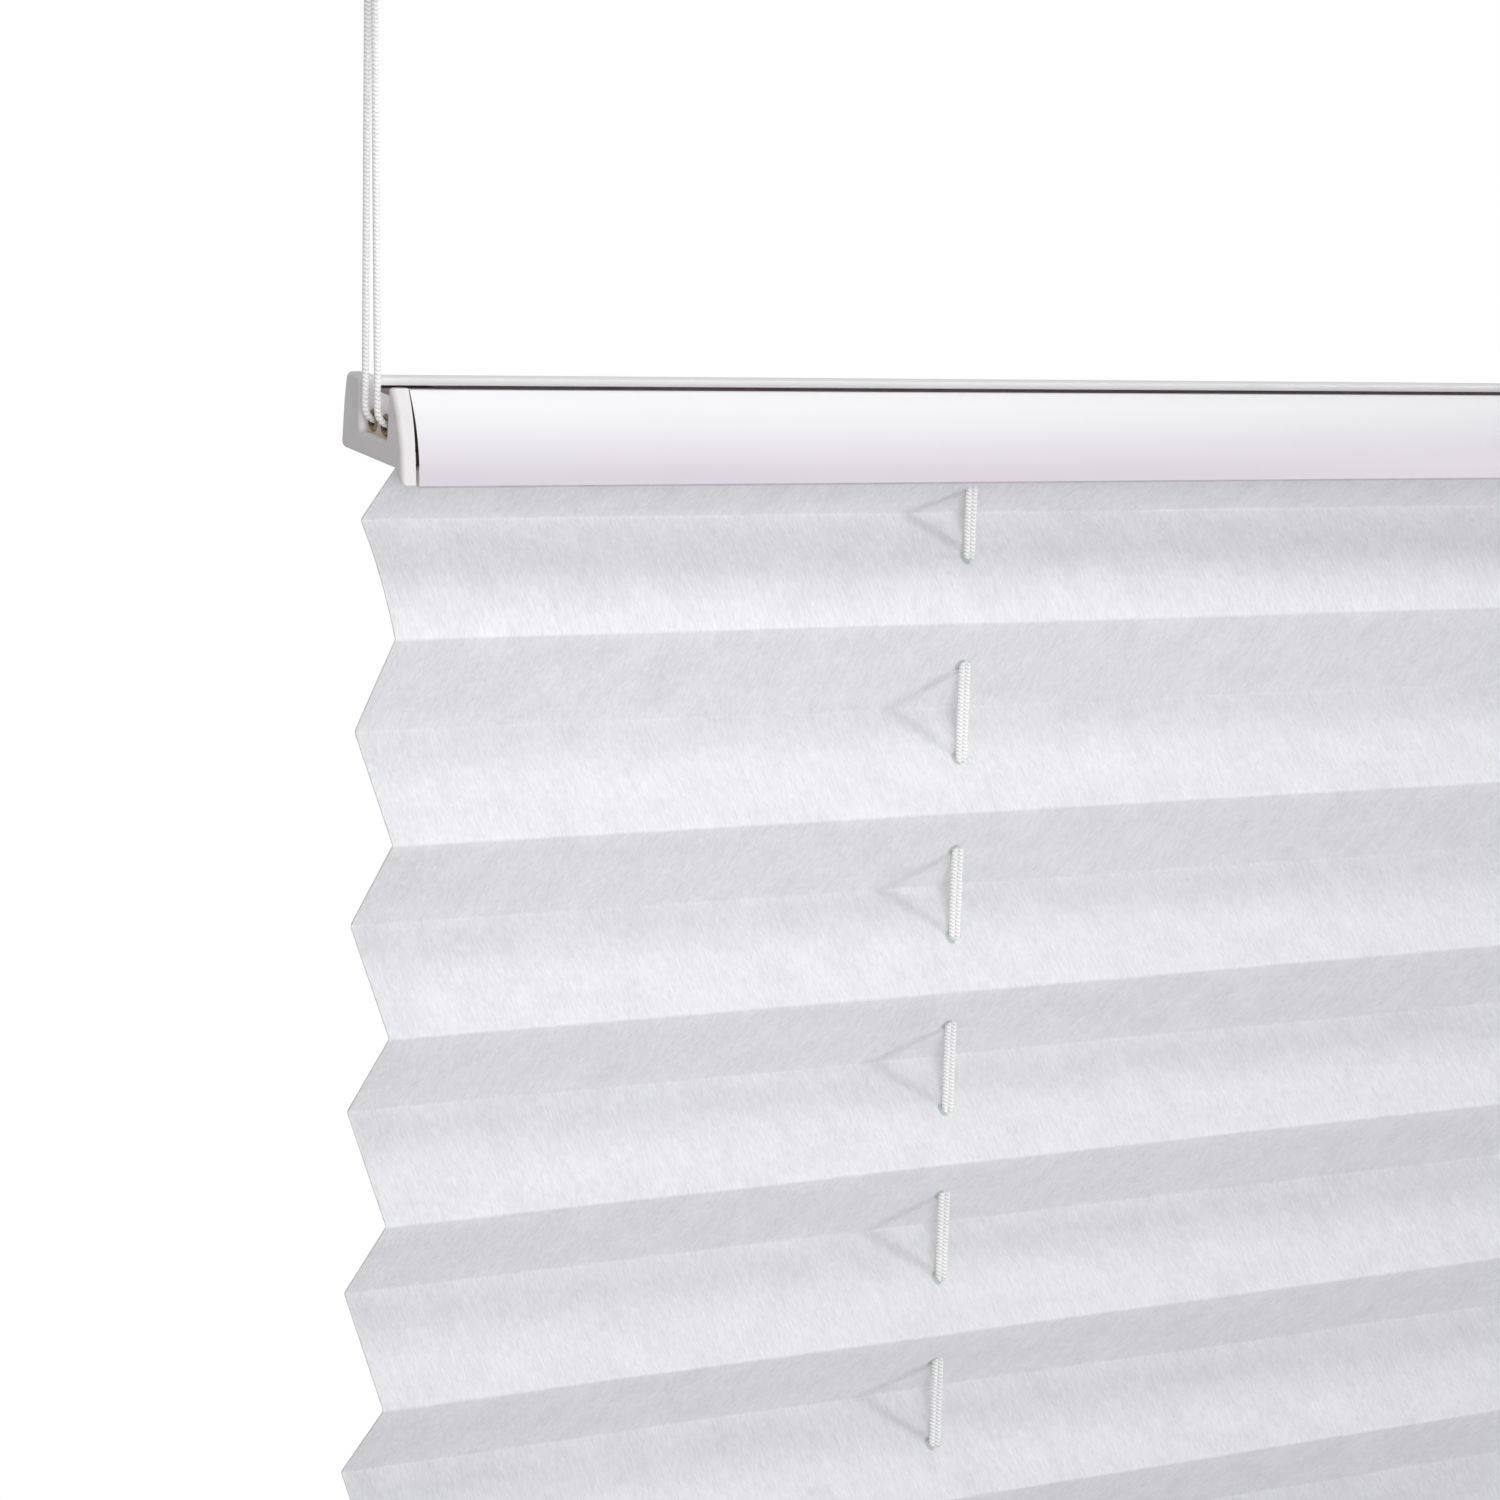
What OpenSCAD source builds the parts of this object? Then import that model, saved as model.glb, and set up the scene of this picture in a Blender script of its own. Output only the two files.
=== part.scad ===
// Tensioned pleated blind: a folded fabric between two rails that slide on taut cords.
// Millimetres. X runs along the rails, the room is on the -Y side, and +Z is up.
// The origin lies on the upper fixing face, midway between the two upper shoes.

/* [Window] */
// Height of the opening between the upper and the lower fixing face
opening_h = 600; // [420:1:690]

/* [Fabric] */
// Width of the fabric
fabric_w = 400; // [300:1:1200]
// Thickness of the fabric
fabric_t = 0.3; // [0.2:0.05:0.4]
// Number of rear folds
rear_folds = 16; // [15:1:20]
// Length of one panel from fold to fold
panel_len = 20; // [18:0.5:24]
// Extra height of the uppermost whole panel, which carries the most weight
top_stretch = 2.2; // [0:0.1:2.5]
// Share of that extra height that each panel passes on to the next one down
stretch_fade = 0.6; // [0.3:0.05:0.8]
// Outward bow of the uppermost whole panel
first_bow = 0.8; // [0:0.1:1.2]
// Diameter of the punched cord holes
punch_d = 2.6; // [2.4:0.1:4]
// Distance of each row of cord holes from the end of the fabric
punch_inset = 100; // [50:1:130]
// Height from the first rear fold up to the web of the rail
first_hang = 12.5; // [10:0.5:16]
// How far the fabric's edge reaches back over the fabric strip
flap_reach = 3; // [2:0.5:6]

/* [Rails] */
// Distance from the upper fixing face to the web of the top rail
rail_drop = 80; // [50:1:120]
// Distance from the lower fixing face to the web of the bottom rail
rail_lift = 80; // [50:1:120]
// Angle by which a rail hangs tipped towards the room
rail_tip = 5.8; // [0:0.1:7]
// Wall of the rail
rail_wall = 1; // [0.8:0.1:1.2]
// Web between the two channels
web_t = 0.9; // [0.7:0.1:1.2]
// Height of the lower channel, which holds the fabric strip
strip_channel_h = 1.6; // [1.4:0.1:2]
// Height of the upper channel, which holds the cords
cord_channel_h = 5.9; // [5.5:0.1:8]
// Lips under the lower channel
sole_lip_t = 0.9; // [0.7:0.1:1.2]
// Lips over the upper channel
top_lip_t = 1.2; // [0.8:0.1:1.6]
// How much higher the front wall stands than the rear wall
front_rise = 0.4; // [0:0.1:0.8]
// How far the front wall hangs below the sole
skirt_drop = 2.2; // [1:0.1:3]
// Depth of the rear wall behind the cord line
rear_depth = 11; // [10.5:0.1:13]
// How far the rear wall leans in at its top
rear_lean = 0.4; // [0:0.1:0.8]
// Depth of the foot of the front wall before the cord line
front_foot = 10.95; // [10.5:0.05:12]
// Depth of the head of the front wall before the cord line
front_head = 7.3; // [7.2:0.05:8]
// Radius of the bowed front wall
front_radius = 40; // [25:1:80]
// Half width of the slot in the top of the rail
slot_half = 6.2; // [5.5:0.1:6.5]
// Front edge of the mouth in the sole, before the cord line
mouth_front = 8.2; // [7.6:0.1:8.4]
// Rear edge of the mouth in the sole, behind the cord line
mouth_rear = 6.5; // [4:0.1:8]
// Radius of the rear wall's upper edge
rail_top_r = 0.4; // [0.2:0.1:0.5]
// Radius of the rear wall's lower edge
rail_heel_r = 0.8; // [0.2:0.1:0.9]
// Radius between the skirt and the sole
skirt_r = 0.2; // [0.1:0.1:0.4]

/* [End caps] */
// Thickness of the end plate
cap_plate_t = 2.3; // [2:0.1:4]
// How far the end plate stands out beyond the end of the fabric
cap_out = 1.1; // [0.5:0.1:2]
// Seam between the end plate and the rail
cap_seam = 0.35; // [0.1:0.05:0.6]
// How much higher the end plate stands than the front wall of the rail
cap_proud = 0.2; // [0:0.1:0.6]
// How much shorter the end plate's front lip is than the rail's skirt
cap_short = 0.35; // [0:0.05:0.6]
// Half width of the notch at its floor
notch_floor_half = 4.6; // [4.2:0.1:5]
// Half width of the notch at its top
notch_top_half = 5.8; // [5:0.1:6]
// Depth from the outer face to the wall that holds the eyelets
notch_depth = 1; // [0.6:0.1:1.5]
// How far the wall that holds the eyelets stays below the rail's slot
eyelet_wall_short = 0.2; // [0:0.1:1]
// Length of the plug inside the rail
plug_len = 10; // [8:0.5:20]
// Depth of the end plate's front lip where it leaves the sole
cap_lip_t = 2.4; // [1.6:0.1:2.6]
// Radius of that lip
cap_lip_r = 0.3; // [0.1:0.1:0.4]
// Radius in the corners of the notch
notch_r = 1; // [0.5:0.1:1.2]
// Radius of the front tower beside the notch
front_tower_r = 0.6; // [0.3:0.1:0.7]
// Radius of the rear tower beside the notch
rear_tower_r = 1; // [0.5:0.1:1.2]
// Radius of the rear tower's outer edge
cap_rear_r = 1.2; // [0.5:0.1:1.4]
// Radius of the end plate's lower rear edge
cap_heel_r = 1; // [0.4:0.1:1.2]
// Height of the eyelets' seat above the eyelets
eyelet_cover = 0.6; // [0.4:0.1:1]

/* [Eyelets and guides] */
// Outer diameter of an eyelet
eyelet_d = 3.2; // [2.8:0.1:3.4]
// Bore of an eyelet
eyelet_bore = 1.8; // [1.6:0.1:2]
// Length of an eyelet
eyelet_len = 6.5; // [5:0.5:10]
// How far an eyelet stands out of its wall
eyelet_out = 0.3; // [0.1:0.1:0.6]
// Distance between the two eyelets of a cap
eyelet_pitch = 4.4; // [4.2:0.1:4.6]
// Height of the eyelets above the web
eyelet_rise = 1.8; // [1.8:0.1:2.4]
// Flange diameter of a cord guide
guide_flange_d = 7; // [6.5:0.1:7.4]
// Flange thickness of a cord guide
guide_flange_t = 1; // [0.8:0.1:1.2]
// Diameter of a cord guide where it sits in the web
guide_d = 4.8; // [4.4:0.1:5.4]
// Bore of a cord guide
guide_bore = 2.8; // [2.6:0.1:3]
// Cord hole in the fabric strip
strip_hole_d = 3.6; // [3:0.1:6]

/* [Shoes] */
// Distance of the fixing screw from the end of the fabric
screw_inset = 10; // [8:0.5:30]
// Screw hole
screw_d = 4; // [3:0.1:4.5]
// Countersink of the screw hole
sink_d = 7.6; // [6:0.1:8.5]
// Height of a shoe
shoe_h = 11; // [10:0.5:12]
// Depth of a shoe
shoe_depth = 16; // [15:0.5:20]
// Floor of a shoe, which carries the cord holder
shoe_floor_t = 2; // [1.5:0.1:2.5]
// How far a shoe reaches past the screw and past the cord holder
shoe_end = 7; // [6:0.5:10]
// Head diameter of a cord holder
holder_head_d = 8; // [7:0.1:9]
// Head height of a cord holder
holder_head_h = 2; // [1.5:0.1:2.2]
// Neck diameter of a cord holder
holder_neck_d = 5.2; // [4.8:0.1:5.6]
// Height of the bell under the shoe
holder_bell_h = 4; // [3:0.5:5]
// Bore for one cord
holder_bore = 1.4; // [1.3:0.1:1.6]
// Distance of a cord holder beyond the end of the fabric
holder_out = 1.7; // [1.5:0.1:1.9]
// Distance of a cord holder behind the cord line
holder_back = 1.95; // [1.8:0.05:2.1]
// Distance between the two bores of a cord holder
holder_pitch = 2.3; // [2.1:0.1:2.4]
// Radius of a shoe's two corners beside the open seat
shoe_outer_r = 2; // [1:0.5:3]
// Radius of a shoe's two corners beside the screw
shoe_inner_r = 4; // [1:0.5:6]
// Radius of the bell's foot
bell_foot_r = 0.8; // [0.4:0.1:0.9]
// Radius of the bell's rim
bell_rim_r = 1; // [0.4:0.1:1.2]
// Radius of the upper edge of a cord holder's head
holder_head_r = 0.6; // [0.2:0.1:0.8]

/* [Cords] */
// Diameter of a cord
cord_d = 1; // [0.8:0.1:1]
// Diameter of the knot at each end of a cord
knot_d = 2.2; // [1.8:0.1:2.2]
// Length of that knot
knot_len = 2.2; // [2:0.1:2.4]
// Length over which the cord swells to its knot
knot_taper = 0.4; // [0.2:0.1:0.8]

/* [Hidden] */
$fn = 48;

// Clearance between fabric, strip and channel
lay_gap = 0.05;
// Clearance round pieces that are pressed in
press_gap = 0.03;
// Clearance round the plugs and the cord holders
slide_gap = 0.15;
// Length by which a cut runs past the face it opens
cut = 1;
// Straight steps in a rounded corner
corner_steps = 5;
// Straight steps in the bowed front wall and in the bowed panel
bow_steps = 8;

// Heights in the rail's own section, measured from the top of the web
strip_roof_z = -web_t;
strip_floor_z = strip_roof_z - strip_channel_h;
sole_z = strip_floor_z - sole_lip_t;
skirt_z = sole_z - skirt_drop;
rear_top_z = cord_channel_h + top_lip_t;
front_top_z = rear_top_z + front_rise;
cap_top_z = front_top_z + cap_proud;
cap_lip_z = skirt_z + cap_short;
eyelet_wall_z = cord_channel_h - eyelet_wall_short;

// The bowed front wall is an arc through its foot and its head
foot = [-front_foot, skirt_z];
head = [-front_head, front_top_z];
chord = head - foot;
bow_mid = (foot + head) / 2;
bow_centre = bow_mid + sqrt(pow(front_radius, 2) - pow(norm(chord) / 2, 2))
    * [chord[1], -chord[0]] / norm(chord);

// The fabric lies under and over the strip
flap_z = strip_roof_z - lay_gap - fabric_t / 2;
strip_top_z = flap_z - fabric_t / 2 - lay_gap;
underlay_z = strip_floor_z + lay_gap + fabric_t / 2;
strip_bottom_z = underlay_z + fabric_t / 2 + lay_gap;
wrap_y = front_y(strip_roof_z, rail_wall) + 2 * lay_gap + fabric_t / 2;
strip_front_y = wrap_y + fabric_t / 2 + lay_gap;
strip_rear_y = rear_depth - rail_wall - rear_lean - slide_gap;

// The folds, counted from the first rear fold down; the panels share the height between the rails
lower_web_z = rail_lift - opening_h;
first_fold_z = -rail_drop - first_hang;
last_fold_z = lower_web_z + first_hang;
panels = 2 * (rear_folds - 1);
stretch_sum = top_stretch * (1 - pow(stretch_fade, panels)) / (1 - stretch_fade);
panel_rise = (first_fold_z - last_fold_z - stretch_sum) / panels;

// Places along the rails
half_w = fabric_w / 2;
punch_x = half_w - punch_inset;
rail_end_x = half_w + cap_out - cap_plate_t - cap_seam;
eyelet_wall_x = notch_depth - cap_out;

// Bends of a cord: their radius, the straight steps in each, and the turn up to which none is needed
strand_bend = 2;
bend_steps = 3;
gentle_turn = 20;
// Height by which one cord passes over the other where two cross in a rail
crossing_lift = 1.6;
// Straight stretch of a cord under the bell of its holder
bell_gap = 0.5;
// Distance beyond the end of the fabric at which a cord turns into its eyelet
turn_out = 1.4;
// Distance to each side of a guide over which a passing cord keeps clear of it
pass_span = 30;

// Places on the cords' way: the holders' bores, the turns into the eyelets, and the guides
holder_x = half_w + holder_out;
front_bore_y = holder_back - holder_pitch / 2;
rear_bore_y = holder_back + holder_pitch / 2;
knot_z = holder_head_h + shoe_floor_t - shoe_h + slide_gap + knot_len;
bell_z = -shoe_h - holder_bell_h - bell_gap;
turn_x = half_w + turn_out;
near_x = half_w - plug_len;
pass_near_x = punch_x - pass_span;
pass_far_x = punch_x + pass_span;
pair_inner_x = punch_x - cord_d / 2;
pair_outer_x = punch_x + cord_d / 2;
function in_top_run(x, y, lift = 0) = concat([x], in_top_rail([y, eyelet_rise + lift]));
function in_bottom_run(x, y, lift = 0) = concat([x], in_bottom_rail([y, eyelet_rise + lift]));

// Route points of the cords. Each route is written for a cord that starts at the upper left; side = -1
// gives the one that starts at the upper right, and lift carries it over the other where they cross.
function front_route(side, lift) = [
    [-holder_x * side, front_bore_y, knot_z],
    [-holder_x * side, front_bore_y, bell_z],
    in_top_run(-turn_x * side, -eyelet_pitch / 2),
    in_top_run(-pass_far_x * side, -4.8),
    in_top_run(-pass_near_x * side, -4.8, lift / 2),
    in_top_run(0, -2.8, lift),
    [pair_inner_x * side, 0, -rail_drop + eyelet_rise],
    [pair_inner_x * side, 0, lower_web_z - eyelet_rise],
    in_bottom_run(pair_inner_x * side, -4.2),
    in_bottom_run(turn_x * side, -eyelet_pitch / 2),
    [holder_x * side, front_bore_y, -opening_h - bell_z],
    [holder_x * side, front_bore_y, -opening_h - knot_z]
];
function rear_route(side, lift) = [
    [-holder_x * side, rear_bore_y, knot_z],
    [-holder_x * side, rear_bore_y, bell_z],
    in_top_run(-turn_x * side, eyelet_pitch / 2),
    [-pair_outer_x * side, 0, -rail_drop + eyelet_rise],
    [-pair_outer_x * side, 0, lower_web_z - eyelet_rise],
    in_bottom_run(-pair_outer_x * side, 4.2),
    in_bottom_run(0, 5.4, lift),
    in_bottom_run(pass_near_x * side, 6.6, lift / 2),
    in_bottom_run(pass_far_x * side, 6.6),
    in_bottom_run(near_x * side, 2.4),
    in_bottom_run(turn_x * side, eyelet_pitch / 2),
    [holder_x * side, rear_bore_y, -opening_h - bell_z],
    [holder_x * side, rear_bore_y, -opening_h - knot_z]
];

// Geometry helpers
function unit(v) = v / norm(v);
function flat(p) = [p[0], p[1]];

// Points of one corner, rounded to radius r between its neighbours
function corner(before, here, after, r, steps) =
    r == 0 ? [here] :
    let (
        a = unit(before - here),
        b = unit(after - here),
        half = acos(a * b) / 2,
        centre = here + unit(a + b) * r / sin(half),
        start = here + a * r / tan(half) - centre,
        stop = here + b * r / tan(half) - centre,
        turn = 180 - 2 * half
    )
    [for (i = [0 : steps])
        centre + r * unit(sin(turn * (1 - i / steps)) * start + sin(turn * i / steps) * stop)];

// Outline from corners given as [x, y, radius]
function rounded(corners) = [
    for (i = [0 : len(corners) - 1])
        each corner(
            flat(corners[(i + len(corners) - 1) % len(corners)]),
            flat(corners[i]),
            flat(corners[(i + 1) % len(corners)]),
            corners[i][2],
            corner_steps
        )
];

// The front wall's depth at a height of the section, moved inwards by inset
function front_y(z, inset = 0) =
    bow_centre[0] - sqrt(pow(front_radius - inset, 2) - pow(z - bow_centre[1], 2));
function front_line(z_from, z_to, inset = 0) = [
    for (i = [0 : bow_steps])
        let (z = z_from + (z_to - z_from) * i / bow_steps)
        [front_y(z, inset), z]
];

// Rise of one panel, height and depth of one fold
function rise(panel) = panel_rise + top_stretch * pow(stretch_fade, panel);
function fold_z(fold) = fold == 0 ? first_fold_z : fold_z(fold - 1) - rise(fold - 1);
function fold_y(fold) =
    (fold % 2 == 0 ? 1 : -1) * sqrt(pow(panel_len, 2) - pow(rise(min(fold, panels - 1)), 2)) / 2;
function fold_at(fold) = [fold_y(fold), fold_z(fold)];

// A point of the rail's section in the tipped rail, for the top rail and for the bottom rail
function tipped(p) = [
    p[0] * cos(rail_tip) - p[1] * sin(rail_tip),
    p[0] * sin(rail_tip) + p[1] * cos(rail_tip)
];
function in_top_rail(p) = tipped(p) + [0, -rail_drop];
function in_bottom_rail(p) = [tipped(p)[0], lower_web_z - tipped(p)[1]];

// Centre line of the fabric from its edge in the top rail to its edge in the bottom rail
clamped = [
    [flap_reach, flap_z],
    [wrap_y, flap_z],
    [wrap_y, underlay_z],
    [-mouth_front + 2 * fabric_t, underlay_z]
];
bow_across = unit([fold_z(1) - fold_z(0), fold_y(0) - fold_y(1)]);
fabric_line = concat(
    [for (p = clamped) in_top_rail(p)],
    [for (i = [0 : bow_steps - 1])
        let (t = i / bow_steps)
        fold_at(0) * (1 - t) + fold_at(1) * t + bow_across * first_bow * 4 * t * (1 - t)],
    [for (fold = [1 : panels]) fold_at(fold)],
    [for (i = [len(clamped) - 1 : -1 : 0]) in_bottom_rail(clamped[i])]
);

// A line thickened to both sides, mitred at its corners
function side_of(v) = unit([-v[1], v[0]]);
function mitre(line, i) =
    i == 0 ? side_of(line[1] - line[0]) :
    i == len(line) - 1 ? side_of(line[i] - line[i - 1]) :
    let (
        a = side_of(line[i] - line[i - 1]),
        b = side_of(line[i + 1] - line[i])
    )
    (a + b) / (1 + a * b);
function thickened(line, t) = concat(
    [for (i = [0 : len(line) - 1]) line[i] + mitre(line, i) * t / 2],
    [for (i = [len(line) - 1 : -1 : 0]) line[i] - mitre(line, i) * t / 2]
);

// Extrudes a section drawn as (depth, height) along +X
module along_x(length) {
    rotate([90, 0, 90])
        linear_extrude(length)
            children();
}

module in_top() {
    translate([0, 0, -rail_drop])
        rotate([rail_tip, 0, 0])
            children();
}

module in_bottom() {
    translate([0, 0, lower_web_z])
        mirror([0, 0, 1])
            rotate([rail_tip, 0, 0])
                children();
}

module at_left() {
    translate([-half_w, 0, 0])
        children();
}

module at_right() {
    mirror([1, 0, 0])
        at_left()
            children();
}

module at_floor() {
    translate([0, 0, -opening_h])
        mirror([0, 0, 1])
            children();
}

// The rail's section: a slotted cord channel above the web and a fabric channel below it
module rail_section() {
    difference() {
        polygon(rounded(concat(
            [for (p = front_line(skirt_z, front_top_z)) [p[0], p[1], 0]],
            [
                [rear_depth - rear_lean, rear_top_z, rail_top_r],
                [rear_depth, rear_top_z / 2, 0],
                [rear_depth, sole_z, rail_heel_r],
                [front_y(sole_z, rail_wall), sole_z, skirt_r],
                [front_y(skirt_z, rail_wall), skirt_z, 0]
            ]
        )));
        polygon(concat(
            front_line(0, cord_channel_h, rail_wall),
            [[rear_depth - rail_wall - rear_lean, cord_channel_h], [rear_depth - rail_wall - rear_lean, 0]]
        ));
        translate([-slot_half, 0])
            square([2 * slot_half, front_top_z + cut]);
        strip_channel_section();
    }
}

// The lower channel with its mouth in the sole
module strip_channel_section() {
    polygon(concat(
        front_line(strip_floor_z, strip_roof_z, rail_wall),
        [
            [rear_depth - rail_wall - rear_lean, strip_roof_z],
            [rear_depth - rail_wall - rear_lean, strip_floor_z]
        ]
    ));
    translate([-mouth_front, sole_z - cut])
        square([mouth_front + mouth_rear, cut + sole_lip_t + strip_channel_h / 2]);
}

module rail() {
    difference() {
        translate([-rail_end_x, 0, 0])
            along_x(2 * rail_end_x)
                rail_section();
        for (side = [-1, 1])
            translate([side * punch_x, 0, -web_t - cut])
                cylinder(d = guide_d + 2 * press_gap, h = web_t + 2 * cut);
    }
}

// Outline of the end plate, with the notch for the cords and the lip that follows the rail's skirt
module cap_outline() {
    polygon(rounded(concat(
        [for (p = front_line(cap_lip_z, front_top_z)) [p[0], p[1], 0]],
        [
            [front_y(cap_top_z), cap_top_z, 0],
            [-notch_top_half, cap_top_z, front_tower_r],
            [-notch_floor_half, 0, notch_r],
            [notch_floor_half, 0, notch_r],
            [notch_top_half, cap_top_z, rear_tower_r],
            [rear_depth - rear_lean, cap_top_z, cap_rear_r],
            [rear_depth, rear_top_z / 2, 0],
            [rear_depth, sole_z, cap_heel_r],
            [front_y(sole_z, cap_lip_t), sole_z, cap_lip_r],
            [front_y(cap_lip_z, rail_wall), cap_lip_z, cap_lip_r]
        ]
    )));
}

// One end cap in the rail's own place, with X = 0 at the end of the fabric
module end_cap() {
    wall_half = (notch_floor_half + notch_top_half) / 2;
    plug_top = cord_channel_h - slide_gap;
    plug_rear = rear_depth - rail_wall - rear_lean - slide_gap;
    plug_x = cap_plate_t - cap_out;
    difference() {
        union() {
            translate([-cap_out, 0, 0])
                along_x(cap_plate_t)
                    cap_outline();
            translate([eyelet_wall_x, 0, 0])
                along_x(plug_x - eyelet_wall_x)
                    polygon([
                        [-notch_floor_half, -lay_gap],
                        [notch_floor_half, -lay_gap],
                        [wall_half, eyelet_wall_z],
                        [-wall_half, eyelet_wall_z]
                    ]);
            translate([plug_x, 0, 0])
                along_x(plug_len)
                    polygon([
                        [notch_floor_half, slide_gap],
                        [plug_rear, slide_gap],
                        [plug_rear, plug_top],
                        [slot_half + slide_gap, plug_top]
                    ]);
            translate([plug_x, 0, 0])
                along_x(plug_len)
                    polygon(concat(
                        front_line(slide_gap, plug_top, rail_wall + slide_gap),
                        [[-slot_half - slide_gap, plug_top], [-notch_floor_half, slide_gap]]
                    ));
            translate([plug_x - cut, -slot_half, slide_gap])
                cube([cut + eyelet_len / 2, 2 * slot_half, eyelet_rise + eyelet_d / 2 + eyelet_cover]);
        }
        translate([-slide_gap, 0, 0])
            along_x(plug_x + slide_gap + cut)
                strip_channel_section();
        for (side = [-1, 1])
            translate([eyelet_wall_x - cut, side * eyelet_pitch / 2, eyelet_rise])
                rotate([0, 90, 0])
                    cylinder(d = eyelet_d + 2 * press_gap, h = eyelet_len + 2 * cut);
    }
}

// The two eyelets of one cap: short tubes with a rolled mouth on the outside
module eyelets() {
    lip_r = (eyelet_d - eyelet_bore) / 4;
    for (side = [-1, 1])
        translate([eyelet_wall_x - eyelet_out, side * eyelet_pitch / 2, eyelet_rise])
            rotate([0, 90, 0])
                rotate_extrude()
                    union() {
                        translate([eyelet_bore / 2, lip_r])
                            square([2 * lip_r, eyelet_len - lip_r]);
                        translate([eyelet_bore / 2 + lip_r, lip_r])
                            circle(lip_r);
                    }
}

// A cord guide: a flanged bush in the web, with a flared mouth for the turning cords
module cord_guide() {
    bore_r = guide_bore / 2;
    rotate_extrude()
        difference() {
            union() {
                translate([0, -web_t])
                    square([guide_d / 2, web_t]);
                square([guide_flange_d / 2, guide_flange_t]);
            }
            translate([0, -web_t - cut])
                square([bore_r, web_t + guide_flange_t + 2 * cut]);
            difference() {
                square([bore_r + guide_flange_t, guide_flange_t + cut]);
                translate([bore_r + guide_flange_t, 0])
                    circle(guide_flange_t);
            }
        }
}

module fabric_strip() {
    difference() {
        translate([-rail_end_x + slide_gap, strip_front_y, strip_bottom_z])
            cube([
                2 * (rail_end_x - slide_gap),
                strip_rear_y - strip_front_y,
                strip_top_z - strip_bottom_z
            ]);
        for (side = [-1, 1])
            translate([side * punch_x, 0, strip_bottom_z - cut])
                cylinder(d = strip_hole_d, h = strip_top_z - strip_bottom_z + 2 * cut);
    }
}

module pleated_fabric() {
    difference() {
        translate([-half_w, 0, 0])
            along_x(fabric_w)
                polygon(thickened(fabric_line, fabric_t));
        for (side = [-1, 1])
            translate([side * punch_x, 0, lower_web_z - cut])
                cylinder(d = punch_d, h = -rail_drop - lower_web_z + 2 * cut);
    }
}

// One shoe with X = 0 at the end of the fabric: a block with a side-open seat for the cord holder
module shoe() {
    seat = [-holder_out, holder_back, 0];
    outer_x = -holder_out - shoe_end;
    inner_x = screw_inset + shoe_end;
    difference() {
        translate([0, 0, -shoe_h])
            linear_extrude(shoe_h)
                polygon(rounded([
                    [outer_x, -shoe_depth / 2, shoe_outer_r],
                    [inner_x, -shoe_depth / 2, shoe_inner_r],
                    [inner_x, shoe_depth / 2, shoe_inner_r],
                    [outer_x, shoe_depth / 2, shoe_outer_r]
                ]));
        translate(seat + [0, 0, -shoe_h + shoe_floor_t])
            seat_cut(holder_head_d + 2 * slide_gap, shoe_h);
        translate(seat + [0, 0, -shoe_h - cut])
            seat_cut(holder_neck_d + 2 * slide_gap, shoe_h);
        translate([screw_inset, 0, -shoe_h - cut])
            cylinder(d = screw_d, h = shoe_h + 2 * cut);
        translate([screw_inset, 0, -shoe_h - cut])
            cylinder(d1 = sink_d + 2 * cut, d2 = screw_d, h = (sink_d - screw_d) / 2 + cut);
    }
}

// A round cut that runs out to the open side of the shoe
module seat_cut(d, h) {
    cylinder(d = d, h = h);
    translate([-shoe_end - cut, -d / 2, 0])
        cube([shoe_end + cut, d, h]);
}

// A cord holder: head on the shoe's floor, neck through it, and a rounded bell below
module cord_holder() {
    head_r = holder_head_d / 2;
    neck_r = holder_neck_d / 2;
    difference() {
        translate([-holder_out, holder_back, -shoe_h])
            rotate_extrude()
                polygon(rounded([
                    [0, -holder_bell_h, 0],
                    [neck_r, -holder_bell_h, bell_foot_r],
                    [head_r, -holder_bell_h / 2, bell_rim_r],
                    [head_r, -slide_gap, 0],
                    [neck_r, -slide_gap, 0],
                    [neck_r, shoe_floor_t, 0],
                    [head_r, shoe_floor_t, 0],
                    [head_r, shoe_floor_t + holder_head_h, holder_head_r],
                    [0, shoe_floor_t + holder_head_h, 0]
                ]));
        for (side = [-1, 1])
            translate([-holder_out, holder_back + side * holder_pitch / 2, -shoe_h - holder_bell_h - cut])
                cylinder(d = holder_bore, h = holder_bell_h + shoe_floor_t + holder_head_h + 2 * cut);
    }
}

// A cord: an eight-sided tube along its route, rounded at the turns, with a knot at each end
cord_sides = 8;

function turn_at(line, i) = acos(unit(line[i] - line[i - 1]) * unit(line[i + 1] - line[i]));
function smoothed(line) = concat(
    [line[0]],
    [for (i = [1 : len(line) - 2])
        let (r = turn_at(line, i) > gentle_turn ? strand_bend : 0)
        each corner(line[i - 1], line[i], line[i + 1], r, bend_steps)],
    [line[len(line) - 1]]
);
function heading(line, i) =
    unit(line[min(i + 1, len(line) - 1)] - line[max(i - 1, 0)]);
function across(line, i) =
    i == 0 ? [0, 1, 0] :
    let (
        before = across(line, i - 1),
        along = heading(line, i)
    )
    unit(before - (before * along) * along);
function ring(line, i, r) =
    let (
        x = across(line, i),
        y = cross(heading(line, i), x)
    )
    [for (k = [0 : cord_sides - 1])
        let (a = 360 * (k + 0.5) / cord_sides)
        line[i] + r * (cos(a) * x + sin(a) * y)];

// The end of a cord with its knot, as points and radii
function knotted(tip, next) =
    let (along = unit(next - tip))
    [
        [tip, cord_d / 2],
        [tip + along * knot_taper, knot_d / 2],
        [tip + along * (knot_len - knot_taper), knot_d / 2],
        [tip + along * knot_len, cord_d / 2]
    ];

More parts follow.
